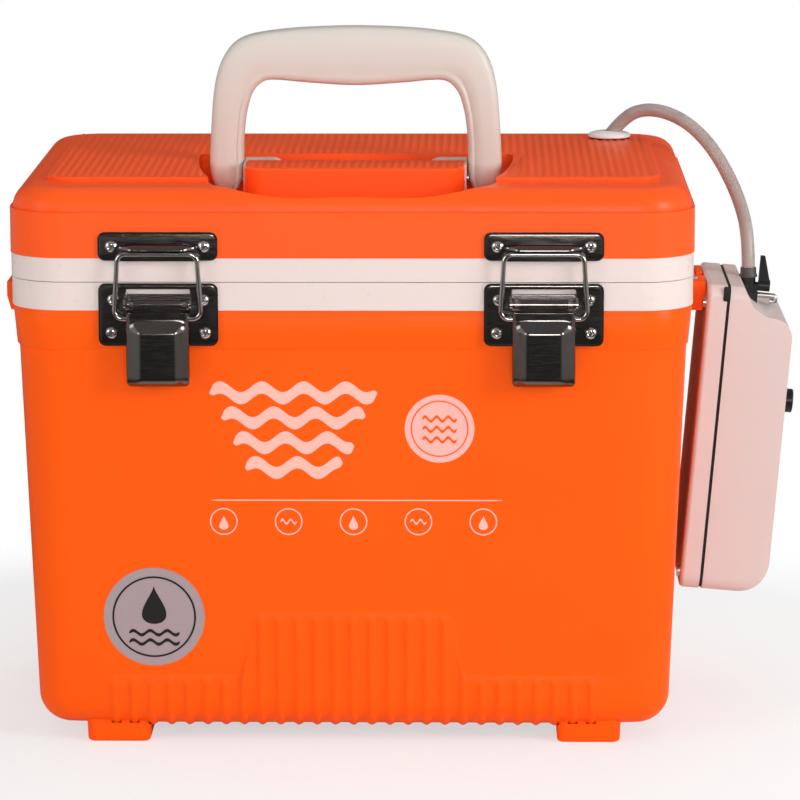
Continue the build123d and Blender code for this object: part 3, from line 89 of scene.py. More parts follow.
class NodeTree:
    """The nodes of a material or of the world, with short ways to add and join them."""

    def __init__(self, tree: bpy.types.NodeTree) -> None:
        """Keeps the tree.

        Args:
            tree: The material's or the world's own tree.
        """
        self.tree = tree

    def add(self, kind: str, **inputs: float | tuple[float, ...]) -> bpy.types.Node:
        """Adds a node and sets its inputs by name, with _ for a blank.

        Args:
            kind: The node's type.
            **inputs: Values of its sockets.

        Returns:
            The node.
        """
        node = self.tree.nodes.new(kind)
        for name, value in inputs.items():
            node.inputs[name.replace("_", " ")].default_value = value
        return node

    def link(self, source: bpy.types.NodeSocket, target: bpy.types.NodeSocket) -> None:
        """Joins two sockets."""
        self.tree.links.new(source, target)

    def spread(self, source: bpy.types.NodeSocket, before: tuple[float, float],
               after: tuple[float, float] = (0.0, 1.0), smooth: bool = False) -> bpy.types.NodeSocket:
        """Maps a value from one range to another, held at both ends.

        Args:
            source: The value.
            before: The range that it comes from.
            after: What the two ends of that range become.
            smooth: True for a soft step between them, False for a straight line.

        Returns:
            The mapped value.
        """
        node = self.add("ShaderNodeMapRange")
        if smooth:
            node.interpolation_type = "SMOOTHSTEP"
        for index, value in enumerate((*before, *after), 1):
            node.inputs[index].default_value = value
        self.link(source, node.inputs[0])
        return node.outputs[0]

    def math(self, kind: str, first: bpy.types.NodeSocket,
             second: bpy.types.NodeSocket | float | None = None) -> bpy.types.NodeSocket:
        """Adds a Math node on one value and, where it needs one, another value or a number.

        Args:
            kind: The operation.
            first: Its first value.
            second: Its second value or number.

        Returns:
            The result.
        """
        node = self.add("ShaderNodeMath")
        node.operation = kind
        self.link(first, node.inputs[0])
        if isinstance(second, float):
            node.inputs[1].default_value = second
        elif second is not None:
            self.link(second, node.inputs[1])
        return node.outputs[0]

    def axes(self, place: bpy.types.NodeSocket) -> bpy.types.NodeOutputs:
        """Splits a place or a direction into its X, Y and Z outputs."""
        node = self.add("ShaderNodeSeparateXYZ")
        self.link(place, node.inputs[0])
        return node.outputs

    def switch(self, share: bpy.types.NodeSocket, first: bpy.types.NodeSocket,
               second: bpy.types.NodeSocket) -> bpy.types.NodeSocket:
        """Mixes two shaders.

        Args:
            share: 0 for the first, 1 for the second.
            first: The first shader.
            second: The second shader.

        Returns:
            The mixed shader.
        """
        node = self.add("ShaderNodeMixShader")
        for index, source in enumerate((share, first, second)):
            self.link(source, node.inputs[index])
        return node.outputs[0]


class NodeSheet(NodeTree):
    """One material's nodes, with a principled shader at their end."""

    def __init__(self, name: str) -> None:
        """Makes the material and its shader.

        Args:
            name: The material's name.
        """
        self.material = bpy.data.materials.new(name)
        self.material.use_nodes = True
        super().__init__(self.material.node_tree)
        self.shader = self.tree.nodes["Principled BSDF"]
        self.place = self.add("ShaderNodeTexCoord").outputs["Object"]

    def set(self, **inputs: float | tuple[float, ...]) -> None:
        """Sets constant values on the shader itself."""
        for name, value in inputs.items():
            self.shader.inputs[name.replace("_", " ")].default_value = value

    def noise(self, scale: float, detail: float = 2.0,
              stretch: tuple[float, float, float] = (1, 1, 1)) -> bpy.types.NodeSocket:
        """Adds a noise on Object coordinates.

        Args:
            scale: Lumps per metre.
            detail: Octaves of finer noise.
            stretch: Scale along X, Y and Z.

        Returns:
            The noise's 0 to 1 output.
        """
        mapping = self.add("ShaderNodeMapping", Scale=stretch)
        self.link(self.place, mapping.inputs["Vector"])
        node = self.add("ShaderNodeTexNoise", Scale=scale, Detail=detail)
        self.link(mapping.outputs["Vector"], node.inputs["Vector"])
        return node.outputs["Fac"]

    def far(self, start: float, end: float) -> bpy.types.NodeSocket:
        """Gives 0 within start of the origin and 1 beyond end, in metres."""
        length = self.add("ShaderNodeVectorMath")
        length.operation = "LENGTH"
        self.link(self.place, length.inputs[0])
        return self.spread(length.outputs["Value"], (start, end), smooth=True)

    def drift(self, source: bpy.types.NodeSocket, colour: tuple[int, int, int],
              shades: tuple[float, float]) -> None:
        """Lets the base colour drift between two shades of one colour, over the middle of a noise.

        Args:
            source: The 0 to 1 value.
            colour: The display colour.
            shades: Shares of it at the noise's low and high end.
        """
        node = self.add("ShaderNodeMix")
        node.data_type = "RGBA"
        for index, share in zip(MIX_COLOURS, shades):
            node.inputs[index].default_value = shade(linear(*colour), share)
        self.link(self.spread(source, NOISE_MIDDLE), node.inputs[0])
        self.link(node.outputs[MIX_RESULT], self.shader.inputs["Base Color"])

    def wear(self, source: bpy.types.NodeSocket, rough: float, swing: tuple[float, float]) -> None:
        """Lets the roughness swing over the middle of a noise.

        Args:
            source: The 0 to 1 value.
            rough: The roughness.
            swing: What is added to it at the noise's low and high end.
        """
        ends = (rough + swing[0], rough + swing[1])
        self.link(self.spread(source, NOISE_MIDDLE, ends), self.shader.inputs["Roughness"])

    def bump(self, source: bpy.types.NodeSocket, depth: float, strength: float) -> None:
        """Turns a value into bumps.

        Args:
            source: The 0 to 1 height.
            depth: Height of 1, in metres.
            strength: Share of the effect.
        """
        node = self.add("ShaderNodeBump", Strength=strength, Distance=depth)
        self.link(source, node.inputs["Height"])
        self.link(node.outputs["Normal"], self.shader.inputs["Normal"])


@dataclass(frozen=True)
class MouldedPlastic:
    """Injection-moulded plastic with a fine spark-eroded grain.

    The colour drifts by mottle over patches some centimetres wide, and the grain is a noise of about half a
    millimetre. Here and below a scale is in lumps per metre, and a depth in metres.
    """

    name: str
    colour: tuple[int, int, int]
    rough: float = 0.38
    grain: float = 2200.0
    depth: float = 0.000012
    mottle: float = 0.03
    specular: float = 0.4
    glow: float = 0.0
    patch_scale: float = 14.0
    wear_scale: float = 160.0
    swing: tuple[float, float] = (-0.03, 0.03)
    grain_strength: float = 0.6
    refraction: float = 1.48
    glow_reach: tuple[float, float, float] = (1.0, 0.4, 0.25)
    glow_depth: float = 0.003

    def make(self) -> bpy.types.Material:
        """Builds the material."""
        sheet = NodeSheet(self.name)
        sheet.drift(sheet.noise(self.patch_scale, 3.0), self.colour, (1 - self.mottle, 1 + self.mottle))
        sheet.wear(sheet.noise(self.wear_scale, 3.0), self.rough, self.swing)
        sheet.bump(sheet.noise(self.grain), self.depth, self.grain_strength)
        sheet.set(Specular_IOR_Level=self.specular, IOR=self.refraction)
        if self.glow:
            sheet.set(Subsurface_Weight=self.glow, Subsurface_Radius=self.glow_reach,
                      Subsurface_Scale=self.glow_depth)
        return sheet.material


@dataclass(frozen=True)
class PolishedSteel:
    """Polished stainless sheet or wire with faint drawing marks along one axis."""

    name: str
    colour: tuple[int, int, int] = (120, 118, 115)
    rough: float = 0.2
    marks: tuple[float, float, float] = (0.05, 1.0, 1.0)
    smear_scale: float = 60.0
    shades: tuple[float, float] = (0.9, 1.08)
    mark_scale: float = 2600.0
    swing: tuple[float, float] = (-0.05, 0.07)
    mark_depth: float = 0.000003
    mark_strength: float = 0.5

    def make(self) -> bpy.types.Material:
        """Builds the material."""
        sheet = NodeSheet(self.name)
        sheet.drift(sheet.noise(self.smear_scale, 4.0), self.colour, self.shades)
        lines = sheet.noise(self.mark_scale, 2.0, self.marks)
        sheet.wear(lines, self.rough, self.swing)
        sheet.bump(lines, self.mark_depth, self.mark_strength)
        sheet.set(Metallic=1.0)
        return sheet.material


@dataclass(frozen=True)
class SoftRubber:
    """Matte rubber with a dusty bloom."""

    name: str
    colour: tuple[int, int, int] = (24, 24, 25)
    rough: float = 0.6
    bloom_scale: float = 260.0
    bloom: tuple[float, float] = (1.0, 1.5)
    wear_scale: float = 90.0
    swing: tuple[float, float] = (-0.08, 0.08)
    grain: float = 1800.0
    depth: float = 0.00002
    grain_strength: float = 0.5
    specular: float = 0.35

    def make(self) -> bpy.types.Material:
        """Builds the material."""
        sheet = NodeSheet(self.name)
        sheet.drift(sheet.noise(self.bloom_scale, 4.0), self.colour, self.bloom)
        sheet.wear(sheet.noise(self.wear_scale), self.rough, self.swing)
        sheet.bump(sheet.noise(self.grain, 3.0), self.depth, self.grain_strength)
        sheet.set(Specular_IOR_Level=self.specular)
        return sheet.material


@dataclass(frozen=True)
class MilkySilicone:
    """Translucent silicone tube, clouded through its wall."""

    name: str
    colour: tuple[int, int, int] = (172, 157, 151)
    cloud: float = 0.35
    cloud_scale: float = 120.0
    shades: tuple[float, float] = (0.92, 1.06)
    wear_scale: float = 300.0
    rough: float = 0.26
    swing: tuple[float, float] = (0.0, 0.14)
    grain: float = 900.0
    depth: float = 0.000012
    grain_strength: float = 0.4
    cloud_reach: tuple[float, float, float] = (1.0, 0.8, 0.7)
    cloud_depth: float = 0.002
    refraction: float = 1.41
    specular: float = 0.6

    def make(self) -> bpy.types.Material:
        """Builds the material."""
        sheet = NodeSheet(self.name)
        sheet.drift(sheet.noise(self.cloud_scale, 3.0), self.colour, self.shades)
        sheet.wear(sheet.noise(self.wear_scale), self.rough, self.swing)
        sheet.bump(sheet.noise(self.grain), self.depth, self.grain_strength)
        sheet.set(Subsurface_Weight=self.cloud, Subsurface_Radius=self.cloud_reach,
                  Subsurface_Scale=self.cloud_depth)
        sheet.set(IOR=self.refraction, Specular_IOR_Level=self.specular)
        return sheet.material


@dataclass(frozen=True)
class PorousBlock:
    """Foam or sintered mineral full of small round pores, with painted shade darkening the colour in each
    pit.
    """

    name: str
    colour: tuple[int, int, int]
    pores: float = 1500.0
    depth: float = 0.0003
    # shares of the colour in the pits and on the ridges between them: painted shade in the pits
    shades: tuple[float, float] = (0.7, 1.1)
    wear_scale: float = 200.0
    rough: float = 0.75
    swing: tuple[float, float] = (0.0, 0.2)
    pore_strength: float = 0.7

    def make(self) -> bpy.types.Material:
        """Builds the material."""
        sheet = NodeSheet(self.name)
        cells = sheet.add("ShaderNodeTexVoronoi", Scale=self.pores)
        sheet.link(sheet.place, cells.inputs["Vector"])
        height = cells.outputs["Distance"]
        # painted shade: the colour follows the pore depth, darker in the pits and lighter on the ridges
        sheet.drift(height, self.colour, self.shades)
        sheet.wear(sheet.noise(self.wear_scale), self.rough, self.swing)
        sheet.bump(height, self.depth, self.pore_strength)
        return sheet.material


@dataclass(frozen=True)
class PrintedFilm:
    """Thin printed film with an even ink and a soft satin face."""

    name: str
    colour: tuple[int, int, int]
    rough: float = 0.42
    ink_scale: float = 1900.0
    shades: tuple[float, float] = (0.97, 1.02)
    wear_scale: float = 240.0
    swing: tuple[float, float] = (-0.04, 0.05)
    specular: float = 0.35

    def make(self) -> bpy.types.Material:
        """Builds the material."""
        sheet = NodeSheet(self.name)
        sheet.drift(sheet.noise(self.ink_scale), self.colour, self.shades)
        sheet.wear(sheet.noise(self.wear_scale), self.rough, self.swing)
        sheet.set(Specular_IOR_Level=self.specular)
        return sheet.material


class Paintbox:
    """Every finish of the box, made once and handed out by name."""

    FINISHES = {
        "orange": MouldedPlastic("orange_shell", (255, 88, 0), 0.4, specular=0.14),
        "lid_orange": MouldedPlastic("orange_lid", (255, 88, 26), 0.36, specular=0.2),
        "white": MouldedPlastic("white_liner", (227, 208, 203), 0.3, 2600.0, 0.000008, 0.012, glow=0.15),
        "cream": MouldedPlastic("cream_handle", (212, 205, 196), 0.36, 1700.0, 0.00001, 0.02, 0.35, glow=0.1),
        "pump_white": MouldedPlastic("white_pump", (216, 199, 194), 0.34, 2000.0, 0.00001, 0.015, glow=0.12),
        "grommet": MouldedPlastic("white_grommet", (236, 230, 226), 0.32, 2000.0, 0.00001, 0.02),
        "black": MouldedPlastic("black_plastic", (22, 22, 23), 0.34, 1800.0, 0.00001, 0.1),
        "steel": PolishedSteel("stainless_sheet", (118, 112, 108), 0.15),
        "wire": PolishedSteel("stainless_wire", (182, 180, 176), 0.12, (1.0, 1.0, 0.05)),
        "screw": PolishedSteel("stainless_screw", (214, 210, 206), 0.14, (1.0, 1.0, 1.0)),
        "zinc": PolishedSteel("plated_steel", (198, 196, 190), 0.3, (1.0, 0.1, 1.0)),
        "ring": PolishedSteel("grey_ring", (206, 205, 202), 0.34, (1.0, 1.0, 1.0)),
        "rubber": SoftRubber("black_rubber"),
        "collar": SoftRubber("grey_collar", (70, 66, 66), 0.45),
        "hose": MilkySilicone("milky_hose"),
        "foam": PorousBlock("closed_cell_foam", (226, 218, 178)),
        "stone": PorousBlock("air_stone_mineral", (104, 122, 140), 1100.0, 0.0006),
        "cell": PolishedSteel("cell_sleeve", (150, 132, 84), 0.32, (1.0, 1.0, 0.05)),
        "pale_film": PrintedFilm("pale_film", (163, 145, 148)),
        "pink_film": PrintedFilm("pink_film", (255, 176, 166)),
        "dark_ink": PrintedFilm("dark_ink", (26, 22, 22)),
        "thin_ink": PrintedFilm("rose_ink", (255, 182, 168)),
    }

    def __init__(self) -> None:
        """Makes the materials."""
        self.made = {name: finish.make() for name, finish in self.FINISHES.items()}

    def give(self, piece: bpy.types.Object, name: str) -> bpy.types.Object:
        """Puts one finish on the whole piece.

        Args:
            piece: The object.
            name: The finish's name.

        Returns:
            The same object.
        """
        piece.data.materials.clear()
        piece.data.materials.append(self.made[name])
        return piece


# ---------------------------------------------------------------- surfaces
MERGE = 1e-6  # metres; points nearer than this become one


def show(name: str, data: bpy.types.ID) -> bpy.types.Object:
    """Makes an object of a mesh, curve, lamp or camera and puts it into the scene."""
    made = bpy.data.objects.new(name, data)
    bpy.context.scene.collection.objects.link(made)
    return made


def mesh_of(name: str, grid: np.ndarray, faces: list[list[int]]) -> bpy.types.Object:
    """Makes a mesh object of points in millimetres, of any grid, and of faces by the points' numbers."""
    mesh = bpy.data.meshes.new(name)
    mesh.from_pydata((grid.reshape(-1, 3) * MM).tolist(), [], faces)
    return show(name, mesh)


def surface(name: str, grid: np.ndarray, lids: bool = False) -> bpy.types.Object:
    """Makes a skin of a grid of points whose last column joins the first.

    Point (i, j) joins (i+1, j), (i+1, j+1) and (i, j+1) into one four-sided face.

    Args:
        name: The piece's name.
        grid: Points in millimetres, rows x columns x 3.
        lids: True if the first and last row are closed with a flat face.

    Returns:
        The new object, with its faces outwards and smooth.
    """
    here = np.arange(grid.shape[0] * grid.shape[1]).reshape(grid.shape[:2])
    right = np.roll(here, -1, axis=1)
    faces = np.stack([here[:-1], right[:-1], right[1:], here[1:]], axis=-1).reshape(-1, 4).tolist()
    if lids:
        faces += [here[0, ::-1].tolist(), here[-1].tolist()]
    piece = mesh_of(name, grid, faces)
    tidy(piece)
    return piece


def sheet(name: str, grid: np.ndarray) -> bpy.types.Object:
    """Makes an open sheet whose faces look towards columns x rows.

    Each face runs (i, j), (i, j+1), (i+1, j+1), (i+1, j), so its normal is the column way crossed with the
    row way.

    Args:
        name: The piece's name.
        grid: Points in millimetres, rows x columns x 3.

    Returns:
        The new object, smooth, with its open edges sharp.
    """
    here = np.arange(grid.shape[0] * grid.shape[1]).reshape(grid.shape[:2])
    faces = np.stack([here[:-1, :-1], here[:-1, 1:], here[1:, 1:], here[1:, :-1]], axis=-1).reshape(-1, 4)
    piece = mesh_of(name, grid, faces.tolist())
    piece.data.polygons.foreach_set("use_smooth", np.ones(len(faces), dtype=bool))
    work = bmesh.new()
    work.from_mesh(piece.data)
    bmesh.ops.remove_doubles(work, verts=work.verts, dist=MERGE)
    bmesh.ops.dissolve_degenerate(work, edges=work.edges, dist=MERGE)
    for edge in work.edges:
        edge.smooth = not edge.is_boundary
    work.to_mesh(piece.data)
    work.free()
    return piece


def tidy(piece: bpy.types.Object, angle: float = 40.0) -> None:
    """Merges doubles, turns faces outwards and shades smooth up to an angle.

    Args:
        piece: The mesh object.
        angle: Edges sharper than this, in degrees, stay sharp.
    """
    work = bmesh.new()
    work.from_mesh(piece.data)
    bmesh.ops.remove_doubles(work, verts=work.verts, dist=MERGE)
    bmesh.ops.dissolve_degenerate(work, edges=work.edges, dist=MERGE)
    bmesh.ops.recalc_face_normals(work, faces=work.faces)
    for face in work.faces:
        face.smooth = True
    for edge in work.edges:
        edge.smooth = not edge.is_manifold or edge.calc_face_angle(0.0) < math.radians(angle)
    work.to_mesh(piece.data)
    work.free()
    piece.data.update()


def thicken(piece: bpy.types.Object, thickness: float) -> bpy.types.Object:
    """Gives an open sheet a wall behind its face, in millimetres."""
    wall = piece.modifiers.new("wall", "SOLIDIFY")
    wall.thickness = thickness * MM
    wall.offset = -1.0
    return piece


def join(name: str, pieces: list[bpy.types.Object]) -> bpy.types.Object:
    """Puts the meshes of some pieces into one new object.

    Args:
        name: The new piece's name.
        pieces: Mesh objects, which go.

    Returns:
        The new object.
    """
    work = bmesh.new()
    for piece in pieces:
        work.from_mesh(piece.data)
        bpy.data.objects.remove(piece)
    mesh = bpy.data.meshes.new(name)
    work.to_mesh(mesh)
    work.free()
    return show(name, mesh)


def place(piece: bpy.types.Object, body: Body, slot: str) -> bpy.types.Object:
    """Lets a piece ride on its body."""
    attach(piece, body.value)
    log.info("%s rides on %s", piece.name, body.value)
    return piece


def smoothstep(value: np.ndarray) -> np.ndarray:
    """Turns 0 to 1 into a soft step, 3v2 - 2v3, flat outside."""
    held = np.clip(value, 0.0, 1.0)
    return held * held * (3 - 2 * held)


def catmull(points: np.ndarray, steps: int) -> np.ndarray:
    """Runs a smooth line through points.

    Between two points the line is the cubic whose slope at each is half the chord of its neighbours.

    Args:
        points: Control points, count x dimension.
        steps: Samples per span.

    Returns:
        The samples, ending on the last point.
    """
    padded = np.vstack([2 * points[0] - points[1], points, 2 * points[-1] - points[-2]])
    share = np.linspace(0, 1, steps, endpoint=False)[None, :, None]
    a, b, c, d = (padded[k : len(padded) - 3 + k, None, :] for k in range(4))
    square, cube = 2 * a - 5 * b + 4 * c - d, 3 * b - a - 3 * c + d
    spans = 0.5 * (2 * b + (c - a) * share + square * share**2 + cube * share**3)
    return np.vstack([spans.reshape(-1, points.shape[1]), points[-1]])


# ---------------------------------------------------------------- orange shell of the box
@dataclass
class BodyShell:
    """The tapered outer shell with its thick collar and the beaded panel low on its front."""

    half_x: float = 147.5
    half_y: float = 103.5
    rim_corner: float = 24.0
    shell_top: float = 194.3
    collar_z: float = 176.9
    bottom_z: float = 7.9
    collar_inset: float = 0.8
    collar_lean: float = 1.52
    body_inset: float = 2.9
    draft: float = 2.3
    bottom_roll: float = 13.81
    wall: float = 2.4
    bead_count: int = 27
    bead_pitch: float = 8.0
    bead_half: float = 2.5
    bead_rise: float = 1.15
    panel_rise: float = 0.45
    panel_half: float = 108.0
    panel_low: float = 31.8
    panel_high: float = 60.1
    panel_inner: float = 41.0
    panel_outer: float = 50.0
    bead_steps: tuple[float, ...] = (-2.5, -2.0, -1.5, -0.9, 0.0, 0.9, 1.5, 2.0, 2.5, 4.0)
    bead_fade: float = 3.0
    top_fade: float = 1.6
    side_fade: float = 1.2
    valley_end: float = 1.0
    underside: tuple[float, ...] = (3.0, 5.5, 7.0)
    sharp_angle: float = 50.0

    def front_y(self, z: np.ndarray | float) -> np.ndarray | float:
        """Gives the front face's Y at a height: it leans in below the collar by the draft's tangent."""
        return -(self.half_y - self.body_inset - (self.collar_z - z) * math.tan(math.radians(self.draft)))

    def columns(self) -> np.ndarray:
        """Gives the X places of the front's columns, several across each bead and one in each valley."""
        centres = (np.arange(self.bead_count) - (self.bead_count - 1) / 2) * self.bead_pitch
        return (centres[:, None] + np.array(self.bead_steps)[None, :]).ravel()[:-1]

    def rows(self) -> np.ndarray:
        """Gives one row per level: height, half X, half Y, corner radius, and the skin's lean in radians.

        From the top they are the collar, the tapered side, a quarter round of bottom_roll and the underside.
        """
        found = []
        top = self.collar_inset
        foot = top + self.collar_lean
        for z, inset in (
            (self.shell_top, top + 0.5), (self.shell_top, top + 0.25), (self.shell_top - 0.3, top),
            (self.collar_z + 0.5, foot), (self.collar_z, foot + 0.35),
        ):
            found.append((z, self.half_x - inset, self.half_y - inset, self.rim_corner - inset, 0.0))
        lean = math.tan(math.radians(self.draft))
        deep = self.collar_z - self.bottom_z
        corner_loss = (self.body_inset + deep * lean) / deep
        edge = self.bottom_z + self.bottom_roll
        plain = np.linspace(self.collar_z - 0.02, 66, 7)
        for z in np.concatenate([plain, np.arange(64, edge + 1.0, -1.0), [edge]]):
            drop = self.collar_z - z
            half_x = self.half_x - self.body_inset - drop * lean
            half_y = self.half_y - self.body_inset - drop * lean
            found.append((z, half_x, half_y, self.rim_corner - drop * corner_loss, 0.0))
        last = found[-1]
        for angle in np.linspace(0, math.pi / 2, 11)[1:]:
            inset = self.bottom_roll * (1 - math.cos(angle))
            z = edge - self.bottom_roll * math.sin(angle)
            found.append((z, last[1] - inset, last[2] - inset, last[3] - inset, angle))
        end = found[-1]
        for inset in self.underside:
            found.append((end[0], end[1] - inset, end[2] - inset, max(end[3] - inset, 0.4), math.pi / 2))
        return np.array(found)

    def ring(self, half_x: np.ndarray, half_y: np.ndarray, corner: np.ndarray) -> np.ndarray:
        """Lays every row's rounded rectangle out with the same columns.

        The front's middle columns keep their X, and the corners are quarter circles of each row's own radius.

        Args:
            half_x: Half lengths of the rows.
            half_y: Half widths of the rows.
            corner: Corner radii of the rows.

        Returns:
            X and Y, rows x columns x 2.
        """
        count = len(half_x)
        front = np.broadcast_to(self.columns(), (count, len(self.columns())))
        parts = [np.stack([front, np.broadcast_to(-half_y[:, None], front.shape)], -1)]
        turns = np.linspace(0, math.pi / 2, 10)
        for sx, sy, start in ((1, -1, -math.pi / 2), (1, 1, 0.0), (-1, 1, math.pi / 2), (-1, -1, math.pi)):
            angle = start + turns
            x = sx * (half_x - corner)[:, None] + corner[:, None] * np.cos(angle)
            y = sy * (half_y - corner)[:, None] + corner[:, None] * np.sin(angle)
            parts.append(np.stack([x, y], -1))
        return np.concatenate(parts, axis=1)

    def relief(self, x: np.ndarray, z: np.ndarray, fade: np.ndarray) -> np.ndarray:
        """Gives how far the front stands out: a low panel with a squared-cosine bead at every pitch.

        The panel's top follows a soft S from the low outer part to the high middle.

        Args:
            x: X of the points.
            z: Height of the points.
            fade: Share of the relief that each row keeps.

        Returns:
            The rise in millimetres.
        """
        middle = smoothstep((self.panel_outer - np.abs(x)) / (self.panel_outer - self.panel_inner))
        top = self.panel_low + (self.panel_high - self.panel_low) * middle
        inside = smoothstep((top - z) / self.top_fade)
        inside = inside * smoothstep((self.panel_half - np.abs(x)) / self.side_fade + 0.5)
        offset = np.mod(x + self.bead_pitch / 2, self.bead_pitch) - self.bead_pitch / 2
        curve = np.cos(math.pi * offset / (2 * self.bead_half)) ** 2
        bead = np.where(np.abs(offset) < self.bead_half, curve, 0.0)
        round_top = smoothstep((top - self.valley_end - z) / self.bead_fade)
        return fade * inside * (self.panel_rise + self.bead_rise * bead * round_top)

    def build(self) -> bpy.types.Object:
        """Builds the shell's skin with its wall."""
        rows = self.rows()
        z, half_x, half_y, corner, lean = rows.T
        plan = self.ring(half_x, half_y, corner)
        grid = np.concatenate([plan, np.broadcast_to(z[:, None, None], (*plan.shape[:2], 1))], axis=-1)
        front = len(self.columns())
        fade = np.ones(len(z))
        fade[-2:] = 0.6, 0.0
        rise = self.relief(grid[:, :front, 0], grid[:, :front, 2], fade[:, None])
        grid[:, :front, 1] -= rise * np.cos(lean)[:, None]
        grid[:, :front, 2] -= rise * np.sin(lean)[:, None]
        shell = surface("body_shell_skin", grid)
        work = bmesh.new()
        work.from_mesh(shell.data)
        half_way = self.collar_z * MM / 2
        low = [edge for edge in work.edges if edge.is_boundary and edge.verts[0].co.z < half_way]
        bmesh.ops.contextual_create(work, geom=low)
        work.to_mesh(shell.data)
        work.free()
        tidy(shell, self.sharp_angle)
        thicken(shell, self.wall)
        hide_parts("body_shell")
        return shell


# ---------------------------------------------------------------- lid top
@dataclass
class LidTop:
    """The fine ribs moulded on the lid's panel and on the handle's block."""

    panel_z: float = 248.3
    pitch: float = 3.5
    height: float = 0.36
    half_x: float = 129.5
    half_y: float = 74.5
    recess_half: float = 71.6
    recess_back: float = 3.2
    recess_side_y: float = -83.0
    recess_side_half: float = 62.6
    block_half: float = 46.6
    block_front: float = -48.4
    block_back: float = -20.8
    samples: int = 8
    sink: float = 0.05
    end_rows: tuple[float, ...] = (0.0, 0.5, 1.1, 1.6)
    side_gap: float = 1.0
    near_gap: float = 4.5
    far_gap: float = 4.0

    def patch(self, name: str, x: tuple[float, float], low: np.ndarray, high: np.ndarray) -> bpy.types.Object:
        """Lays one field of ribs along Y.

        The height is a squared cosine of X over the pitch, and it sinks under the panel over the end rows.

        Args:
            name: The piece's name.
            x: First and last X.
            low: Front end's Y at the first and last X.
            high: Rear end's Y at the first and last X.

        Returns:
            The sheet, open below.
        """
        steps = max(2, round((x[1] - x[0]) / self.pitch * self.samples)) + 1
        across = np.linspace(x[0], x[1], steps)
        front = np.interp(across, x, low)
        back = np.interp(across, x, high)
        rise = np.array(self.end_rows)
        rows = np.concatenate([front[None] + rise[:, None], back[None] - rise[::-1, None]])
        away = np.minimum(rows - front, back - rows)
        ridge = np.cos(math.pi * across / self.pitch) ** 2
        z = self.panel_z - self.sink + (self.height + self.sink) * smoothstep(away / rise[-1]) * ridge[None]
        grid = np.stack([np.broadcast_to(across, rows.shape), rows, z], -1)
        return sheet(name, grid)

    def build(self) -> list[bpy.types.Object]:
        """Builds the lid's ribs and the block's ribs."""
        slope = (self.recess_half - self.recess_side_half) / (self.recess_back - self.recess_side_y)
        corner = self.recess_side_half + slope * (-self.half_y - self.recess_side_y)
        inner = round(self.recess_half / self.pitch + 0.5) * self.pitch + self.pitch / 2
        outer, start = self.half_x, corner + self.side_gap
        front, back, deep = (-self.half_y,) * 2, (self.half_y,) * 2, (self.recess_back,) * 2
        near = -self.half_y + self.near_gap
        limit = min(-self.half_y + (inner - corner) / slope, self.recess_back - self.far_gap)
        fields = (
            ("rib_a", (-outer, -inner), front, back),
            ("rib_b", (inner, outer), front, back),
            ("rib_c", (-inner, inner), deep, back),
            ("rib_d", (start, inner), front, (near, limit)),
            ("rib_e", (-inner, -start), front, (limit, near)),
        )
        lid = join("lid_panel_ribs", [self.patch(*field) for field in fields])
        block = self.patch("handle_block_ribs", (-self.block_half, self.block_half),
                           (self.block_front,) * 2, (self.block_back,) * 2)
        return [lid, block]


# ---------------------------------------------------------------- handle
@dataclass
class Handle:
    """The folding carrying handle: one soft-cornered bar bent into a U."""

    y: float = -16.0
    half_depth: float = 9.0
    pivot_z: float = 240.0
    squareness: float = 4.6
    groove: float = 1.0
    groove_at: float = -0.58
    groove_width: float = 0.1
    groove_face: float = 0.8
    groove_depth: float = 6.0
    leg_top: float = 300.0
    leg_fade: float = 14.0
    spans: int = 6
    columns: int = 56

    def stations(self) -> np.ndarray:
        """Gives the pairs of outer and inner points from leg to leg, as x, z, x, z, mirrored about X = 0."""
        half = np.array([
            (0.0, 307.6, 0.0, 281.6), (22.0, 306.9, 22.0, 282.9), (36.0, 305.6, 32.6, 283.9),
            (46.6, 303.7, 39.2, 283.8), (53.4, 300.4, 43.2, 281.4), (58.3, 294.3, 45.8, 277.6),
            (61.3, 286.5, 47.4, 272.9), (63.1, 276.0, 48.7, 267.0), (64.0, 264.0, 49.4, 260.4),
            (64.4, 256.5, 49.8, 255.2), (64.7, 250.0, 49.85, 250.0), (64.7, 244.5, 49.85, 244.5),
            (63.8, 240.0, 50.4, 240.0), (62.0, 236.4, 51.8, 236.4), (59.8, 233.2, 54.0, 233.2),
            (58.0, 231.5, 56.0, 231.5), (57.4, 231.02, 56.6, 231.02),
        ])
        left = half[:0:-1] * np.array([-1, 1, -1, 1])
        return catmull(np.vstack([left, half]), self.spans)

    def build(self) -> bpy.types.Object:
        """Builds the bar.

        Each section is a superellipse between the outer and the inner point, |a|^n + |b|^n = 1. The legs have
        a shallow groove along both faces near the inner edge, and end in a half round about the pivot.

        Returns:
            The handle.
        """
        stations = self.stations()
        turn = np.linspace(0, TURN, self.columns, endpoint=False)
        power = 2 / self.squareness
        across = np.sign(np.cos(turn)) * np.abs(np.cos(turn)) ** power
        deep = np.sign(np.sin(turn)) * np.abs(np.sin(turn)) ** power
        outer, inner = stations[:, :2], stations[:, 2:]
        middle, half = (outer + inner) / 2, (outer - inner) / 2
        leg = smoothstep((self.leg_top - middle[:, 1]) / self.leg_fade)
        dip = self.groove * np.exp(-(((across - self.groove_at) / self.groove_width) ** 2))
        dip = dip * (np.abs(deep) > self.groove_face)
        below = np.clip((self.pivot_z - middle[:, 1]) / self.half_depth, 0, 1)
        depth = self.half_depth * np.sqrt(1 - below**2 * NEARLY_ONE)
        grooved = leg * (depth > self.groove_depth)
        y = depth[:, None] * deep[None] - np.sign(deep)[None] * dip[None] * grooved[:, None]
        flat = middle[:, None, :] + half[:, None, :] * across[None, :, None]
        grid = np.stack([flat[..., 0], self.y + y, flat[..., 1]], -1)
        bar = surface("carry_handle", grid, lids=True)
        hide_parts("handle")
        return bar


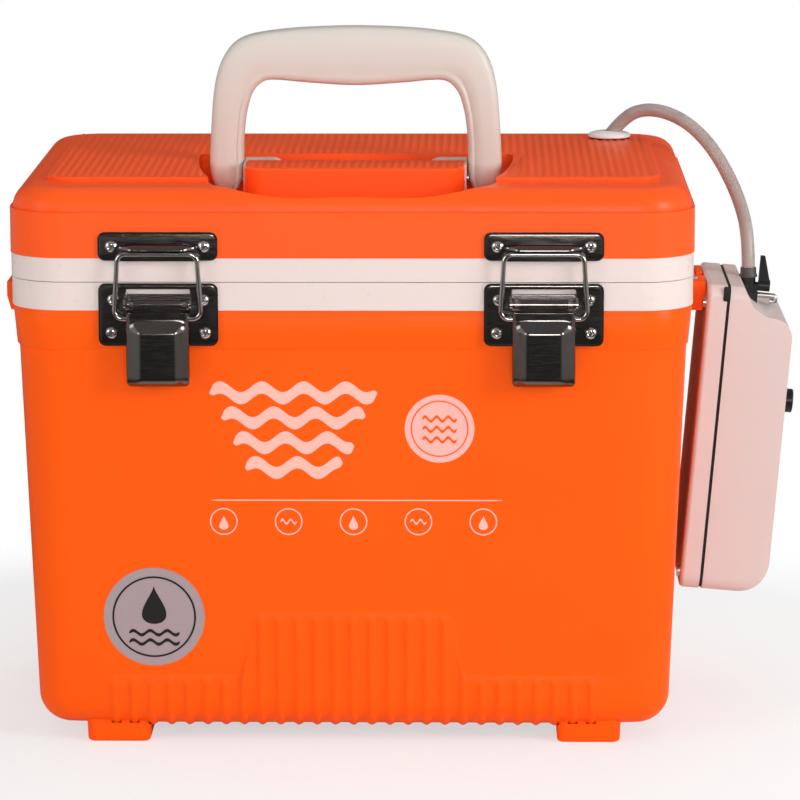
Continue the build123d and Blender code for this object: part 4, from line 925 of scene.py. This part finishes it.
# ---------------------------------------------------------------- latches
@dataclass
class Latch:
    """The shown faces of one draw latch: its lever, the lever's neck and the brow above the bail."""

    side: str
    x: float
    half: float = 13.4
    top: float = 194.3
    bottom: float = 162.0
    back_y: float = -105.4
    neck_y: float = -110.4
    bulge: float = 4.2
    pillow_top: float = 191.4
    slope: float = 5.6
    shoulder: float = 6.0
    toe: float = 4.6
    toe_back: float = -107.0
    corner: float = 2.6
    wall: float = 1.0
    barrel_radius: float = 2.5
    pivot_y: float = -107.9
    pivot_z: float = 197.7
    neck_half: float = 10.15
    strike_y: float = -105.7
    brow_half: float = 17.0
    brow_reach: float = 3.9
    brow_drop: float = 2.6
    brow_top: float = 223.4
    brow_fade: float = 6.4
    brow_end: float = 0.35
    brow_sink: float = 1.2
    brow_turn: float = 96.0
    brow_wall: float = 0.8
    crown: float = 0.35
    side_roll: float = 0.9
    side_roll_width: float = 1.6
    rim_turn: tuple[float, ...] = (1.0, 0.55, 0.12)
    neck_turn: float = 290.0

    def lever(self) -> bpy.types.Object:
        """Builds the pressed lever.

        Its front rises by the bulge over a soft pillow, its toe turns back in a quarter round, and its sides
        turn back to the plate behind it.

        Returns:
            The lever's face, which stands in front of the node's own barrel.
        """
        flat, rim = np.linspace(-1, 1, 45), np.array(self.rim_turn)
        side = np.concatenate([-np.ones(len(rim)), flat, np.ones(len(rim))])
        back = np.concatenate([rim, np.zeros(len(flat)), rim[::-1]])
        across = side * self.half
        up = np.linspace(0, 1, 64)
        z = self.bottom + up * (self.top - self.bottom)
        x_mesh, z_mesh = np.meshgrid(across, z)
        edge = self.half - np.abs(x_mesh)
        low = z_mesh - self.bottom
        rise_x = smoothstep((edge - 0.4) / self.shoulder)
        rise_high = smoothstep((self.pillow_top - z_mesh) / self.slope)
        pillow = self.bulge * rise_x * rise_high
        crown = self.crown * np.cos(math.pi * x_mesh / (2 * self.half))
        side_roll = self.side_roll * (1.0 - smoothstep(edge / self.side_roll_width)) ** 2
        toe = np.clip(1 - low / self.toe, 0, 1)
        y = self.neck_y - pillow - crown + side_roll
        y = y + (self.toe_back - y) * (1 - np.sqrt(1 - NEARLY_ONE * toe**2))
        corner = np.clip(1 - low / self.corner, 0, 1)
        shrink = self.corner * (1 - np.sqrt(1 - 0.999 * corner**2))
        x_mesh = np.sign(x_mesh) * np.minimum(np.abs(x_mesh), self.half - shrink)
        y = y + back[None, :] * (self.back_y - y) * smoothstep(low / 2.0)
        grid = np.stack([x_mesh + self.x, y, z_mesh], -1)
        face = sheet(f"latch_{self.side}_lever_face", grid)
        thicken(face, self.wall)
        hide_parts(f"latch_{self.side}_lever")
        return face

    def barrel(self) -> bpy.types.Object:
        """Builds the neck, a strip that climbs from the lever and rolls over the pin.

        The strip's middle line goes straight up its front and then round the pin, by
        (y0 - r cos a, z0 + r sin a) for a from 0 to neck_turn.

        Returns:
            The neck with its rolled barrel.
        """
        turn = np.radians(np.linspace(0, self.neck_turn, 40))
        radius = self.barrel_radius - self.wall / 2
        y = np.concatenate([[self.pivot_y - radius] * 2, self.pivot_y - radius * np.cos(turn)])
        z = np.concatenate([[self.top - 1.6, self.top + 0.6], self.pivot_z + radius * np.sin(turn)])
        across = np.array([-1, -0.98, 0.98, 1]) * self.neck_half
        grid = np.stack(np.broadcast_arrays(across[None] + self.x, y[:, None], z[:, None]), -1)
        neck = sheet(f"latch_{self.side}_lever_neck", grid)
        wall = thicken(neck, self.wall).modifiers["wall"]
        wall.offset = 0.0
        return neck

    def brow(self) -> bpy.types.Object:
        """Builds the brow pressed out of the strike plate above the bail's wire.

        Its section is a quarter round that comes out by the reach and down by the drop, and it sinks into the
        plate towards both ends by a soft step of the distance to the end.

        Returns:
            The brow.
        """
        across = np.linspace(-1, 1, 61) * self.brow_half
        share = smoothstep((self.brow_half - np.abs(across)) / self.brow_fade)
        turn = np.radians(np.linspace(0, self.brow_turn, 14))
        reach = (self.brow_reach * np.sin(turn))[:, None] * share[None]
        full = self.brow_end + (1 - self.brow_end) * share[None]
        drop = (self.brow_drop * (1 - np.cos(turn)))[:, None] * full
        y = self.strike_y - reach
        z = self.brow_top - drop - (1 - share[None]) * self.brow_sink
        grid = np.stack([np.broadcast_to(across + self.x, y.shape), y, z], -1)[::-1]
        brow = sheet(f"strike_{self.side}_brow", grid)
        return thicken(brow, self.brow_wall)


@dataclass
class PressedPlate:
    """A thin steel plate with rolled edges, with or without a window."""

    name: str
    x: float
    half: float
    low: float
    high: float
    front_y: float
    back_y: float
    corner: float = 3.0
    roll: float = 1.15
    proud: float = 0.07
    window_half: float = 0.0
    window_low: float = 0.0
    window_high: float = 0.0
    window_corner: float = 0.6
    window_roll: float = 0.4
    wall: float = 0.05

    def loop(self, half: float, low: float, high: float, corner: float) -> np.ndarray:
        """Gives a rounded rectangle's points: four quarter circles of the corner's radius, anticlockwise.

        Args:
            half: Half width.
            low: Lower edge.
            high: Upper edge.
            corner: Corner radius.

        Returns:
            X and Z of the points.
        """
        turns = np.linspace(0, math.pi / 2, 8)
        parts = []
        for sx, sz, start in ((1, -1, -math.pi / 2), (1, 1, 0.0), (-1, 1, math.pi / 2), (-1, -1, math.pi)):
            middle_z = high - corner if sz > 0 else low + corner
            x = sx * (half - corner) + corner * np.cos(start + turns)
            parts.append(np.stack([self.x + x, middle_z + corner * np.sin(start + turns)], -1))
        return np.concatenate(parts)

    def build(self) -> bpy.types.Object:
        """Builds the plate's face and its rim.

        The rim is a quarter round, inset r (1 - cos a) and front r sin a, and the same runs round the window.

        Returns:
            The plate's face.
        """
        front, out = self.front_y - self.proud, self.proud
        rings = [(self.loop(self.half + out, self.low - out, self.high + out, self.corner), self.back_y)]
        for angle in np.linspace(0, math.pi / 2, 6):
            inset = self.roll * (1 - math.cos(angle)) - self.proud
            y = front + self.roll * (1 - math.sin(angle))
            rim = self.loop(self.half - inset, self.low + inset, self.high - inset, self.corner - inset)
            rings.append((rim, y))
        if self.window_half:
            window = np.array([self.window_half, self.window_low, self.window_high, self.window_corner])
            for angle in np.linspace(0, math.pi / 2, 5)[::-1]:
                grow = self.window_roll * (1 - math.cos(angle))
                y = front + self.window_roll * (1 - math.sin(angle))
                rings.append((self.loop(*(window + grow * np.array([1, -1, 1, 1]))), y))
            rings.append((self.loop(*window), self.back_y))
        grid = np.stack([np.insert(ring, 1, y, axis=1) for ring, y in rings])
        if not self.window_half:
            middle = np.array([self.x, front, (self.low + self.high) / 2])
            grid = np.concatenate([grid, np.broadcast_to(middle, (1, grid.shape[1], 3))])
        face = surface(self.name, grid)
        if face.data.polygons[len(face.data.polygons) // 2].normal.y > 0:
            face.data.flip_normals()
        return thicken(face, self.wall)


@dataclass
class CrossScrews:
    """A set of pan-head screws with a cross recess, all facing along one Y way."""

    name: str
    places: tuple[tuple[float, float], ...]
    face_y: float
    way: float
    radius: float = 2.6
    height: float = 1.3
    recess: float = 0.75
    arm_half: float = 1.45
    arm_width: float = 0.42
    profile: tuple[float, ...] = (2.6, 2.6, 2.58, 2.4, 2.05, 1.7, 1.5, 1.35, 1.1, 0.85, 0.6, 0.35, 0.12, 0.0)

    def build(self) -> bpy.types.Object:
        """Builds the heads.

        A head's height at a distance r from its middle is a flat dome, h (1 - 0.92 (r/R)^4), less a recess
        where the point lies within one of two crossed bars. Each head is turned by its own angle.

        Returns:
            All heads in one piece.
        """
        radii = np.array(self.profile) / self.profile[0] * self.radius
        turn = np.linspace(0, TURN, 48, endpoint=False)
        heads = []
        for number, (x, z) in enumerate(self.places):
            u = radii[:, None] * np.cos(turn)[None]
            v = radii[:, None] * np.sin(turn)[None]
            dome = self.height * (1 - 0.92 * (radii / self.radius)[:, None] ** 4) + 0 * u
            along, beside = np.abs(u), np.abs(v)
            first = np.maximum(along / self.arm_half, beside / self.arm_width)
            second = np.maximum(beside / self.arm_half, along / self.arm_width)
            arm = np.minimum(first, second)
            dome -= self.recess * smoothstep((1.25 - arm) / 0.5)
            dome[0] = -0.02
            lean = 0.6 + 1.1 * number
            px = x + u * math.cos(lean) - v * math.sin(lean)
            pz = z + u * math.sin(lean) + v * math.cos(lean)
            grid = np.stack([px, self.face_y + self.way * dome, pz], -1)
            heads.append(surface(f"{self.name}_{number}", grid, lids=True))
        return join(self.name, heads)


# ---------------------------------------------------------------- films on the front
@dataclass
class FrontFilms:
    """Plain round films and printed marks on the front: pale discs, rings, waves and drops."""

    shell: BodyShell
    lift: float = 0.12
    fill: float = 0.9

    def on_front(self, x: np.ndarray, z: np.ndarray, lift: float) -> np.ndarray:
        """Puts X and Z on the front face, lift millimetres in front of it."""
        return np.stack([x, self.shell.front_y(z) - lift, z], -1)

    def disc(self, name: str, x: float, z: float, radius: float, layer: int = 1,
             hole: float = 0.0) -> bpy.types.Object:
        """Builds a thin disc or ring.

        Its points are (x + r cos t, z + r sin t), with r from the hole, or the middle, to the rim.

        Args:
            name: The piece's name.
            x: Centre X.
            z: Centre height.
            radius: Outer radius.
            layer: 1 on the shell, 2 on another film.
            hole: Inner radius.

        Returns:
            The film.
        """
        turn = np.linspace(0, -TURN, 73)
        radii = np.linspace(hole, radius, 4)
        across, up = radii[:, None] * np.cos(turn)[None], radii[:, None] * np.sin(turn)[None]
        grid = self.on_front(x + across, z + up, self.lift * layer)
        return thicken(sheet(name, grid), self.lift * self.fill)

    def ribbon(self, name: str, x: tuple[float, float], z: float, width: float, wave: float, length: float,
               layer: int = 1) -> bpy.types.Object:
        """Builds a printed line that may wave.

        Its middle is z + wave sin(2 pi x / length), and its ends are rounded.

        Args:
            name: The piece's name.
            x: First and last X.
            z: Height of its middle.
            width: Its width.
            wave: Swing of the wave.
            length: Length of one wave.
            layer: 1 on the shell, 2 on another film.

        Returns:
            The film.
        """
        end = width / 2
        share = np.linspace(0, 1, 49)
        along = x[0] + (x[1] - x[0]) * share
        away = np.minimum(along - x[0], x[1] - along)
        half = end * np.sqrt(1 - np.clip(1 - away / end, 0, 1) ** 2 * 0.98)
        middle = z + wave * np.sin(TURN * (along - x[0]) / length)
        rows = np.stack([middle - half, middle, middle + half])
        grid = self.on_front(np.broadcast_to(along, rows.shape), rows, self.lift * layer)
        return thicken(sheet(name, grid), self.lift * self.fill)

    def drop(self, name: str, x: float, z: float, size: float, layer: int = 1) -> bpy.types.Object:
        """Builds a water drop.

        Its outline is (0.62 s sin t (1 - cos t) / 1.3, s cos t) for t round the circle, round below and
        pointed above.

        Args:
            name: The piece's name.
            x: Centre X.
            z: Centre height.
            size: Half height.
            layer: 1 on the shell, 2 on another film.

        Returns:
            The film.
        """
        turn = np.linspace(0, -TURN, 49)
        edge_x = 0.62 * size * np.sin(turn) * (1 - np.cos(turn)) / 1.3
        edge_z = size * np.cos(turn)
        share = np.linspace(0, 1, 4)[:, None]
        grid = self.on_front(x - share * edge_x[None], z + share * edge_z[None], self.lift * layer)
        return thicken(sheet(name, grid), self.lift * self.fill)


# ---------------------------------------------------------------- hose and its fittings
@dataclass
class HoseRun:
    """The air hose from the lid's grommet to the pump, and the pieces at its two ends."""

    radius: float = 3.0
    length: float = 0.1306
    grommet_x: float = 115.0
    grommet_y: float = 59.0
    panel_z: float = 248.3
    disc_radius: float = 9.85
    end_x: float = 176.0
    end_z: float = 194.2
    seat: float = 0.7
    overlap: float = 1.2

    def route(self) -> np.ndarray:
        """Gives the route's points in metres: up out of the disc, over and down into the pump's collar."""
        return np.array([
            (0.1128, 0.0603, 0.2462), (0.1210, 0.0564, 0.2586), (0.1329, 0.0511, 0.2634),
            (0.1472, 0.0432, 0.2598), (0.1590, 0.0336, 0.2502), (0.1678, 0.0226, 0.2366),
            (0.1740, 0.0096, 0.2216), (0.1760, 0.0, 0.2076), (0.1760, 0.0, 0.1942),
        ])

    def hose(self) -> bpy.types.Object:
        points = self.route()
        curve = bpy.data.curves.new("air_hose_line", "CURVE")
        curve.dimensions = "3D"
        spline = curve.splines.new("NURBS")
        spline.points.add(len(points) - 1)
        spline.points.foreach_set("co", np.hstack([points, np.ones((len(points), 1))]).ravel())
        spline.order_u = 3
        spline.use_endpoint_u = True
        spline.resolution_u = 16
        curve.bevel_depth = self.radius * MM
        curve.bevel_resolution = 7
        curve.use_fill_caps = True
        hose = show("air_hose_run", curve)
        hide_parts("air_hose")
        return hose

    def turned(self, x: float, y: float, profile: np.ndarray, columns: int) -> np.ndarray:
        """Turns a profile of radius and height about an upright axis.

        Point (r, z) goes to (x + r cos t, y + r sin t, z) for every t round the circle.

        Args:
            x: Axis X.
            y: Axis Y.
            profile: Radius and height, from the bottom up.
            columns: Points round the circle.

        Returns:
            The points, profile x columns x 3.
        """
        turn = np.linspace(0, TURN, columns, endpoint=False)
        radius = profile[:, 0, None]
        height = np.broadcast_to(profile[:, 1, None], (len(profile), columns))
        return np.stack([x + radius * np.cos(turn)[None], y + radius * np.sin(turn)[None], height], -1)

    def grommet(self) -> bpy.types.Object:
        """Builds the domed disc, with a rolled rim and a raised lip round the hose."""
        low, r = self.panel_z + self.seat, self.disc_radius
        knots = np.array([
            (4.6, low - 9.0), (4.6, low), (8.6, low), (r - 0.35, low + 0.1), (r, low + 0.6),
            (r - 0.1, low + 1.2), (r - 0.8, low + 1.9), (r - 2.6, low + 2.45), (6.3, low + 2.7),
            (4.6, low + 2.8), (4.1, low + 3.0), (3.3, low + 3.0), (3.1, low + 2.2), (3.05, low + 1.0),
            (0.0, low + 1.0),
        ])
        disc = surface("grommet_disc", self.turned(self.grommet_x, self.grommet_y, knots, 64), lids=True)
        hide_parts("hose_grommet")
        return disc

    def collar(self) -> bpy.types.Object:
        """Builds the grey sleeve that grips the hose's end on the pump's nozzle."""
        low = self.end_z - self.overlap
        knots = np.array([
            (3.05, low), (4.0, low), (4.05, low + 0.6), (3.9, low + 1.2), (3.62, low + 1.6), (3.6, low + 3.4),
            (3.5, low + 4.1), (3.3, low + 4.4), (3.06, low + 4.3), (3.05, low + 2.4), (3.05, low + 0.2),
        ])
        return surface("hose_collar", self.turned(self.end_x, 0.0, np.vstack([knots, knots[:1]]), 48))


@dataclass
class PumpTrim:
    """The pull tab of the seal on the pump's case."""

    top_x: float = 165.67
    top_z: float = 194.0
    tilt: float = 4.86
    half_width: float = 36.5
    power: float = 5.0
    half_out: float = 1.3
    half_up: float = 3.2

    def put(self, out: np.ndarray, y: np.ndarray, up: np.ndarray) -> np.ndarray:
        """Turns case coordinates, outwards and up, into the row's.

        Args:
            out: Distance out from the seal's plane.
            y: Y.
            up: Height against the case's top.

        Returns:
            The points in millimetres.
        """
        lean = math.radians(self.tilt)
        x = self.top_x + out * math.cos(lean) + up * math.sin(lean)
        z = self.top_z - out * math.sin(lean) + up * math.cos(lean)
        return np.stack([x, y, z], -1)

    def tab(self) -> bpy.types.Object:
        """Builds the seal's tab, a small soft-cornered block on the near edge.

        Its section is a superellipse of the power, drawn in towards its near end.

        Returns:
            The tab.
        """
        turn = np.linspace(0, TURN, 40, endpoint=False)
        across = np.sign(np.cos(turn)) * np.abs(np.cos(turn)) ** (2 / self.power)
        high = np.sign(np.sin(turn)) * np.abs(np.sin(turn)) ** (2 / self.power)
        run = np.array([0.0, 0.0, 0.25, 0.7, 1.2, 2.4])
        size = np.array([0.0, 0.8, 0.95, 1.0, 1.0, 1.0])[:, None]
        out = -1.2 + self.half_out * across[None] * size
        up = -3.4 + self.half_up * high[None] * size
        y = np.broadcast_to((-self.half_width - 0.7 + run)[:, None], out.shape)
        return surface("pump_seal_tab", self.put(out, y, up), lids=True)


# ---------------------------------------------------------------- the whole box
@dataclass(frozen=True)
class Dress:
    """The finish of each construction node that is shown as it is."""

    finish: str
    nodes: tuple[str, ...]


DRESSES = (
    Dress("orange", ("body_shell", "feet", "strap_lug_left", "strap_lug_right")),
    Dress("lid_orange", ("lid_shell", "handle_block")),
    Dress("white", ("body_liner", "lid_liner")),
    Dress("cream", ("handle", "handle_bracket_left", "handle_bracket_right")),
    Dress("foam", ("body_insulation", "lid_insulation")),
    Dress("rubber", ("lid_gasket", "grommet_seal", "pump_gasket")),
    Dress("pump_white", ("pump_back_shell", "pump_front_shell", "pump_hanger_clip")),
    Dress("black", ("pump_outlet", "pump_button", "pump_valve_lever", "pump_chassis", "pump_air_head",
                    "pump_switch_body")),
    Dress("ring", ("pump_hook_ring",)),
    Dress("zinc", ("pump_motor", "pump_case_screws", "block_screws", "battery_contacts", "handle_pins")),
    Dress("cell", ("pump_batteries",)),
    Dress("hose", ("drop_tube", "pump_inner_tube")),
    Dress("stone", ("air_stone",)),
    Dress("grommet", ("hose_grommet",)),
    Dress("wire", ("latch_left_bail", "latch_right_bail", "latch_left_pin", "latch_right_pin", "hinge_pins")),
    Dress("screw", ("strike_screws", "latch_base_screws", "hinge_body_screws", "hinge_lid_screws")),
    Dress("steel", ("latch_left_base", "latch_right_base", "strike_left", "strike_right",
                    "latch_left_lever", "latch_right_lever", "hinge_left_body_leaf", "hinge_right_body_leaf",
                    "hinge_left_lid_leaf", "hinge_right_lid_leaf")),
)


@dataclass(frozen=True)
class ScrewSet:
    """The screws of one node: spots beside a middle line, repeated to both sides of it and of the box."""

    node: str
    body: Body
    face_y: float
    middle: float
    spots: tuple[tuple[float, float], ...]

    def places(self) -> tuple[tuple[float, float], ...]:
        """Gives X and Z of every screw."""
        sides = [(s, t) for s in (-1, 1) for t in (-1, 1)]
        return tuple((s * self.middle + t * out, z) for s, t in sides for out, z in self.spots)


LATCH_X = 82.3
HINGE_X = 85
SCREWS = (
    ScrewSet("strike_screws", Body.LID, -104.7, LATCH_X, ((19.8, 222.1),)),
    ScrewSet("latch_base_screws", Body.TUB, -104.2, LATCH_X, ((19.2, 199.0), (20.0, 184.8))),
    ScrewSet("hinge_lid_screws", Body.LID, 104.7, HINGE_X, ((18.0, 220.4),)),
    ScrewSet("hinge_body_screws", Body.TUB, 104.2, HINGE_X, ((18.0, 192.4),)),
)


@dataclass(frozen=True)
class WaveGroup:
    """Waving lines under each other, each a step below the last and shorter by trim at both ends."""

    name: str
    finish: str
    count: int
    x: tuple[float, float]
    top: float
    step: float
    width: float
    wave: float
    length: float
    trim: float = 0.0
    layer: int = 2


WAVES = (
    WaveGroup("round_film_wave", "dark_ink", 2, (-97.4, -75.2), 51.0, 4.2, 1.5, 1.0, 7.4),
    WaveGroup("small_film_wave", "orange", 3, (30.3, 45.3), 146.6, 4.6, 1.3, 1.0, 5.0),
    WaveGroup("wave_band", "thin_ink", 4, (-61.0, 11.0), 158.0, 11.0, 5.4, 2.4, 18.0, trim=5.0, layer=1),
)


class BaitBox:
    """The cooler box with its latches, handle, hose and pump."""

    def __init__(self, paint: Paintbox) -> None:
        """Keeps the finishes.

        Args:
            paint: The finishes.
        """
        self.paint = paint
        self.shell = BodyShell()
        self.hose = HoseRun()

    def dress_nodes(self) -> None:
        """Gives every construction node its finish."""
        for dress in DRESSES:
            for node in dress.nodes:
                self.paint.give(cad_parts[node], dress.finish)

    def put(self, piece: bpy.types.Object, finish: str, body: Body, slot: str) -> bpy.types.Object:
        """Finishes a piece and lets it ride."""
        self.paint.give(piece, finish)
        return place(piece, body, slot)

    def build_shells(self) -> None:
        """Builds the orange shell, the ribs on the lid and the handle."""
        self.put(self.shell.build(), "orange", Body.TUB, "shell_orange")
        for ribs in LidTop().build():
            thicken(ribs, 0.3)
            self.put(ribs, "lid_orange", Body.LID, "shell_orange")
        self.put(Handle().build(), "cream", Body.HANDLE, "handle_cream")

    def build_latches(self) -> None:
        """Builds the levers, necks, brows and plates of the latches, and every screw that shows."""
        for side, x, body in (("left", -LATCH_X, Body.LEFT_LEVER), ("right", LATCH_X, Body.RIGHT_LEVER)):
            latch = Latch(side, x)
            self.put(latch.lever(), "steel", body, "stainless")
            self.put(latch.barrel(), "steel", body, "stainless")
            self.put(latch.brow(), "steel", Body.LID, "stainless")
            base = PressedPlate(f"latch_{side}_base_face", x, half=25.45, low=179.2, high=206.0,
                                front_y=-104.2, back_y=-103.6,
                                window_half=13.6, window_low=201.6, window_high=203.7)
            strike = PressedPlate(f"strike_{side}_face", x, half=25.4, low=216.1, high=228.1,
                                  front_y=-104.7, back_y=-104.1)
            self.put(base.build(), "steel", Body.TUB, "stainless")
            self.put(strike.build(), "steel", Body.LID, "stainless")
        for row in SCREWS:
            way = math.copysign(1.0, row.face_y)
            heads = CrossScrews(f"{row.node}_heads", row.places(), row.face_y, way).build()
            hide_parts(row.node)
            self.put(heads, "screw", row.body, "stainless")

    def build_hose(self) -> None:
        """Builds the hose, the grommet's disc and the collar at the pump."""
        self.put(self.hose.hose(), "hose", Body.LID, "hose_clear")
        self.put(self.hose.grommet(), "grommet", Body.LID, "grommet_white")
        self.put(self.hose.collar(), "collar", Body.TUB, "rubber_black")

    def build_pump(self) -> None:
        """Builds the small pieces on the pump."""
        self.put(PumpTrim().tab(), "rubber", Body.TUB, "rubber_black")

    def build_films(self) -> None:
        """Builds the plain films on the front."""
        films = FrontFilms(self.shell)
        plain = [
            (films.disc("round_film", x=-86.3, z=58.2, radius=22.0), "pale_film"),
            (films.disc("round_film_ring", x=-86.3, z=58.2, radius=18.2, layer=2, hole=17.4), "dark_ink"),
            (films.drop("round_film_drop", x=-86.3, z=63.6, size=8.6, layer=2), "dark_ink"),
            (films.disc("small_film", x=37.8, z=142.3, radius=15.0), "pink_film"),
            (films.disc("small_film_ring", x=37.8, z=142.3, radius=12.4, layer=2, hole=11.9), "orange"),
            (films.ribbon("rule_line", (-61.0, 65.0), z=110.5, width=0.5, wave=0.0, length=40.0), "thin_ink"),
        ]
        for group in WAVES:
            for number in range(group.count):
                ends = (group.x[0] + group.trim * number, group.x[1] - group.trim * number)
                height = group.top - group.step * number
                wave = films.ribbon(f"{group.name}_{number}", ends, height, group.width, group.wave,
                                    group.length, group.layer)
                plain.append((wave, group.finish))
        for number in range(5):
            x = -55.5 + 28.05 * number
            plain.append((films.disc(f"mark_ring_{number}", x, z=101.0, radius=6.0, hole=5.45), "thin_ink"))
            name = f"mark_sign_{number}"
            if number % 2:
                sign = films.ribbon(name, (x - 3.6, x + 3.6), z=101.0, width=1.0, wave=0.9, length=3.6)
            else:
                sign = films.drop(name, x, z=100.6, size=3.2)
            plain.append((sign, "thin_ink"))
        for piece, finish in plain:
            self.put(piece, finish, Body.TUB, "liner_white")


# ---------------------------------------------------------------- studio
@dataclass
class Studio:
    """The camera, a pale floor and plain soft light.

    The box's gloss sees its own surroundings: dark_gloss ahead, pale_gloss overhead, side_gloss beside it and
    floor_gloss on the floor to both sides.
    """

    eye: tuple[float, float, float] = (0.0515, -1.8728, 0.4879)
    yaw: float = -0.0173
    pitch: float = 0.1856
    roll: float = -0.0019
    lens: float = 189.16
    floor_half: float = 14000.0
    floor_colour: tuple[int, int, int] = (244, 250, 250)
    shadow_reach: float = 0.15
    shadow_end: float = 0.38
    lift: float = 0.6
    room_light: float = 0.34
    dark_gloss: float = 0.06
    pale_gloss: float = 0.34
    side_gloss: float = 0.9
    floor_gloss: float = 0.4
    floor_band: tuple[float, float] = (0.35, 0.9)
    height_band: tuple[float, float] = (0.1, 0.75)
    side_band: tuple[float, float] = (0.55, 0.85)
    aim_z: float = 0.15

    def stand(self, piece: bpy.types.Object, axes: list[np.ndarray], spot: np.ndarray) -> None:
        """Puts a camera or lamp at a spot, with its right, up and backward axes as given."""
        matrix = np.eye(4)
        matrix[:3, :3] = np.stack(axes, axis=1)
        matrix[:3, 3] = spot
        piece.matrix_world = Matrix(matrix.tolist())

    def camera(self) -> None:
        """Places the camera.

        It looks along (sin yaw cos pitch, cos yaw cos pitch, -sin pitch), and its right and up turn by the
        roll.
        """
        level = math.cos(self.pitch)
        ahead = np.array([math.sin(self.yaw) * level, math.cos(self.yaw) * level, -math.sin(self.pitch)])
        right = np.array([math.cos(self.yaw), -math.sin(self.yaw), 0.0])
        up = np.cross(right, ahead)
        c, s = math.cos(self.roll), math.sin(self.roll)
        data = bpy.data.cameras.new("camera")
        data.sensor_width = 36.0
        data.lens = self.lens
        data.clip_start, data.clip_end = 0.05, 50.0
        camera = show("camera", data)
        self.stand(camera, [c * right + s * up, -s * right + c * up, -ahead], np.array(self.eye))
        bpy.context.scene.camera = camera

    def floor(self) -> None:
        """Lays the floor.

        The eye sees it glow beyond shadow_end, and nearer it sees the box's shadow under a glow of the share
        lift. Gloss sees the floor itself near the box, and further off a dim glow, stronger to both sides.
        """
        ends = [-self.floor_half, self.floor_half]
        floor = sheet("studio_floor", np.stack([*np.meshgrid(ends, ends), np.zeros((2, 2))], -1))
        ground = NodeSheet("studio_floor")
        ground.drift(ground.noise(2.0), self.floor_colour, (1.0, 1.01))
        ground.set(Roughness=0.8, Specular_IOR_Level=0.1)
        rays = ground.add("ShaderNodeLightPath").outputs
        far = ground.far(self.shadow_reach, self.shadow_end)
        aside = ground.math("ABSOLUTE", ground.axes(ground.place)["X"])
        dim = ground.add("ShaderNodeEmission")
        strength = ground.spread(aside, self.floor_band, (self.dark_gloss, self.floor_gloss))
        ground.link(strength, dim.inputs["Strength"])
        mirrored = ground.math("MULTIPLY", rays["Is Glossy Ray"], far)
        lit = ground.switch(mirrored, ground.shader.outputs[0], dim.outputs[0])
        seen = ground.math("MAXIMUM", rays["Is Camera Ray"], rays["Is Transmission Ray"])
        share = ground.math("MULTIPLY", seen, ground.math("MAXIMUM", far, self.lift))
        glow = ground.add("ShaderNodeEmission", Strength=1.0)
        output = ground.tree.nodes["Material Output"]
        ground.link(ground.switch(share, lit, glow.outputs[0]), output.inputs["Surface"])
        floor.data.materials.append(ground.material)

    def lamp(self, name: str, spot: tuple[float, float, float], size: float,
             power: float) -> bpy.types.Object:
        """Hangs a square soft lamp that looks at the box's middle.

        Args:
            name: The lamp's name.
            spot: Where it hangs.
            size: Its side in metres.
            power: Its power in watts.

        Returns:
            The lamp.
        """
        data = bpy.data.lights.new(name, "AREA")
        data.size = size
        data.energy = power
        lamp = show(name, data)
        back = np.array(spot) - np.array([0.0, 0.0, self.aim_z])
        back /= np.linalg.norm(back)
        side = np.cross([0.0, 0.0, 1.0], back)
        side /= np.linalg.norm(side)
        self.stand(lamp, [side, np.cross(back, side), back], np.array(spot))
        return lamp

    def world(self) -> None:
        """Fills the room with an even light, shows a pale wall to the eye and a darker room to the gloss.

        The room in the gloss grows paler with the height of the view, and towards both sides.
        """
        world = bpy.data.worlds.new("studio")
        bpy.context.scene.world = world
        world.use_nodes = True
        room = NodeTree(world.node_tree)
        plain = room.tree.nodes["Background"]
        plain.inputs["Color"].default_value = (1.0, 1.0, 1.0, 1.0)
        plain.inputs["Strength"].default_value = self.room_light
        pale = room.add("ShaderNodeBackground", Strength=1.0)
        gloss = room.add("ShaderNodeBackground")
        axes = room.axes(room.add("ShaderNodeTexCoord").outputs["Generated"])
        above = room.spread(axes["Z"], self.height_band, (self.dark_gloss, self.pale_gloss), smooth=True)
        beside = room.spread(room.math("ABSOLUTE", axes["X"]), self.side_band, (0.0, self.side_gloss))
        room.link(room.math("MAXIMUM", above, beside), gloss.inputs["Strength"])
        rays = room.add("ShaderNodeLightPath").outputs
        seen = plain.outputs[0]
        for ray, sight in (("Is Glossy Ray", gloss), ("Is Camera Ray", pale), ("Is Transmission Ray", pale)):
            seen = room.switch(rays[ray], seen, sight.outputs[0])
        room.link(seen, room.tree.nodes["World Output"].inputs["Surface"])

    def build(self) -> None:
        """Builds the whole studio."""
        self.camera()
        self.floor()
        self.world()
        self.lamp("key", (1.5, -1.0, 0.75), 0.7, 18.0)
        self.lamp("fill", (-1.4, -1.2, 0.8), 0.9, 8.2)
        self.lamp("front", (0.2, -2.3, 0.62), 0.5, 11.0)
        self.lamp("top", (0.1, 0.1, 1.7), 1.1, 5.0).visible_glossy = False
        self.lamp("rear", (0.6, 1.8, 0.9), 1.2, 8.0).visible_glossy = False
        bpy.context.scene.view_settings.view_transform = "Standard"


def main() -> None:
    """Builds the studio and the box in order."""
    logging.basicConfig(level=logging.INFO, format="%(message)s")
    Studio().build()
    box = BaitBox(Paintbox())
    box.build_hose()
    box.dress_nodes()
    box.build_shells()
    box.build_latches()
    box.build_pump()
    box.build_films()


if __name__ == "__main__":
    main()
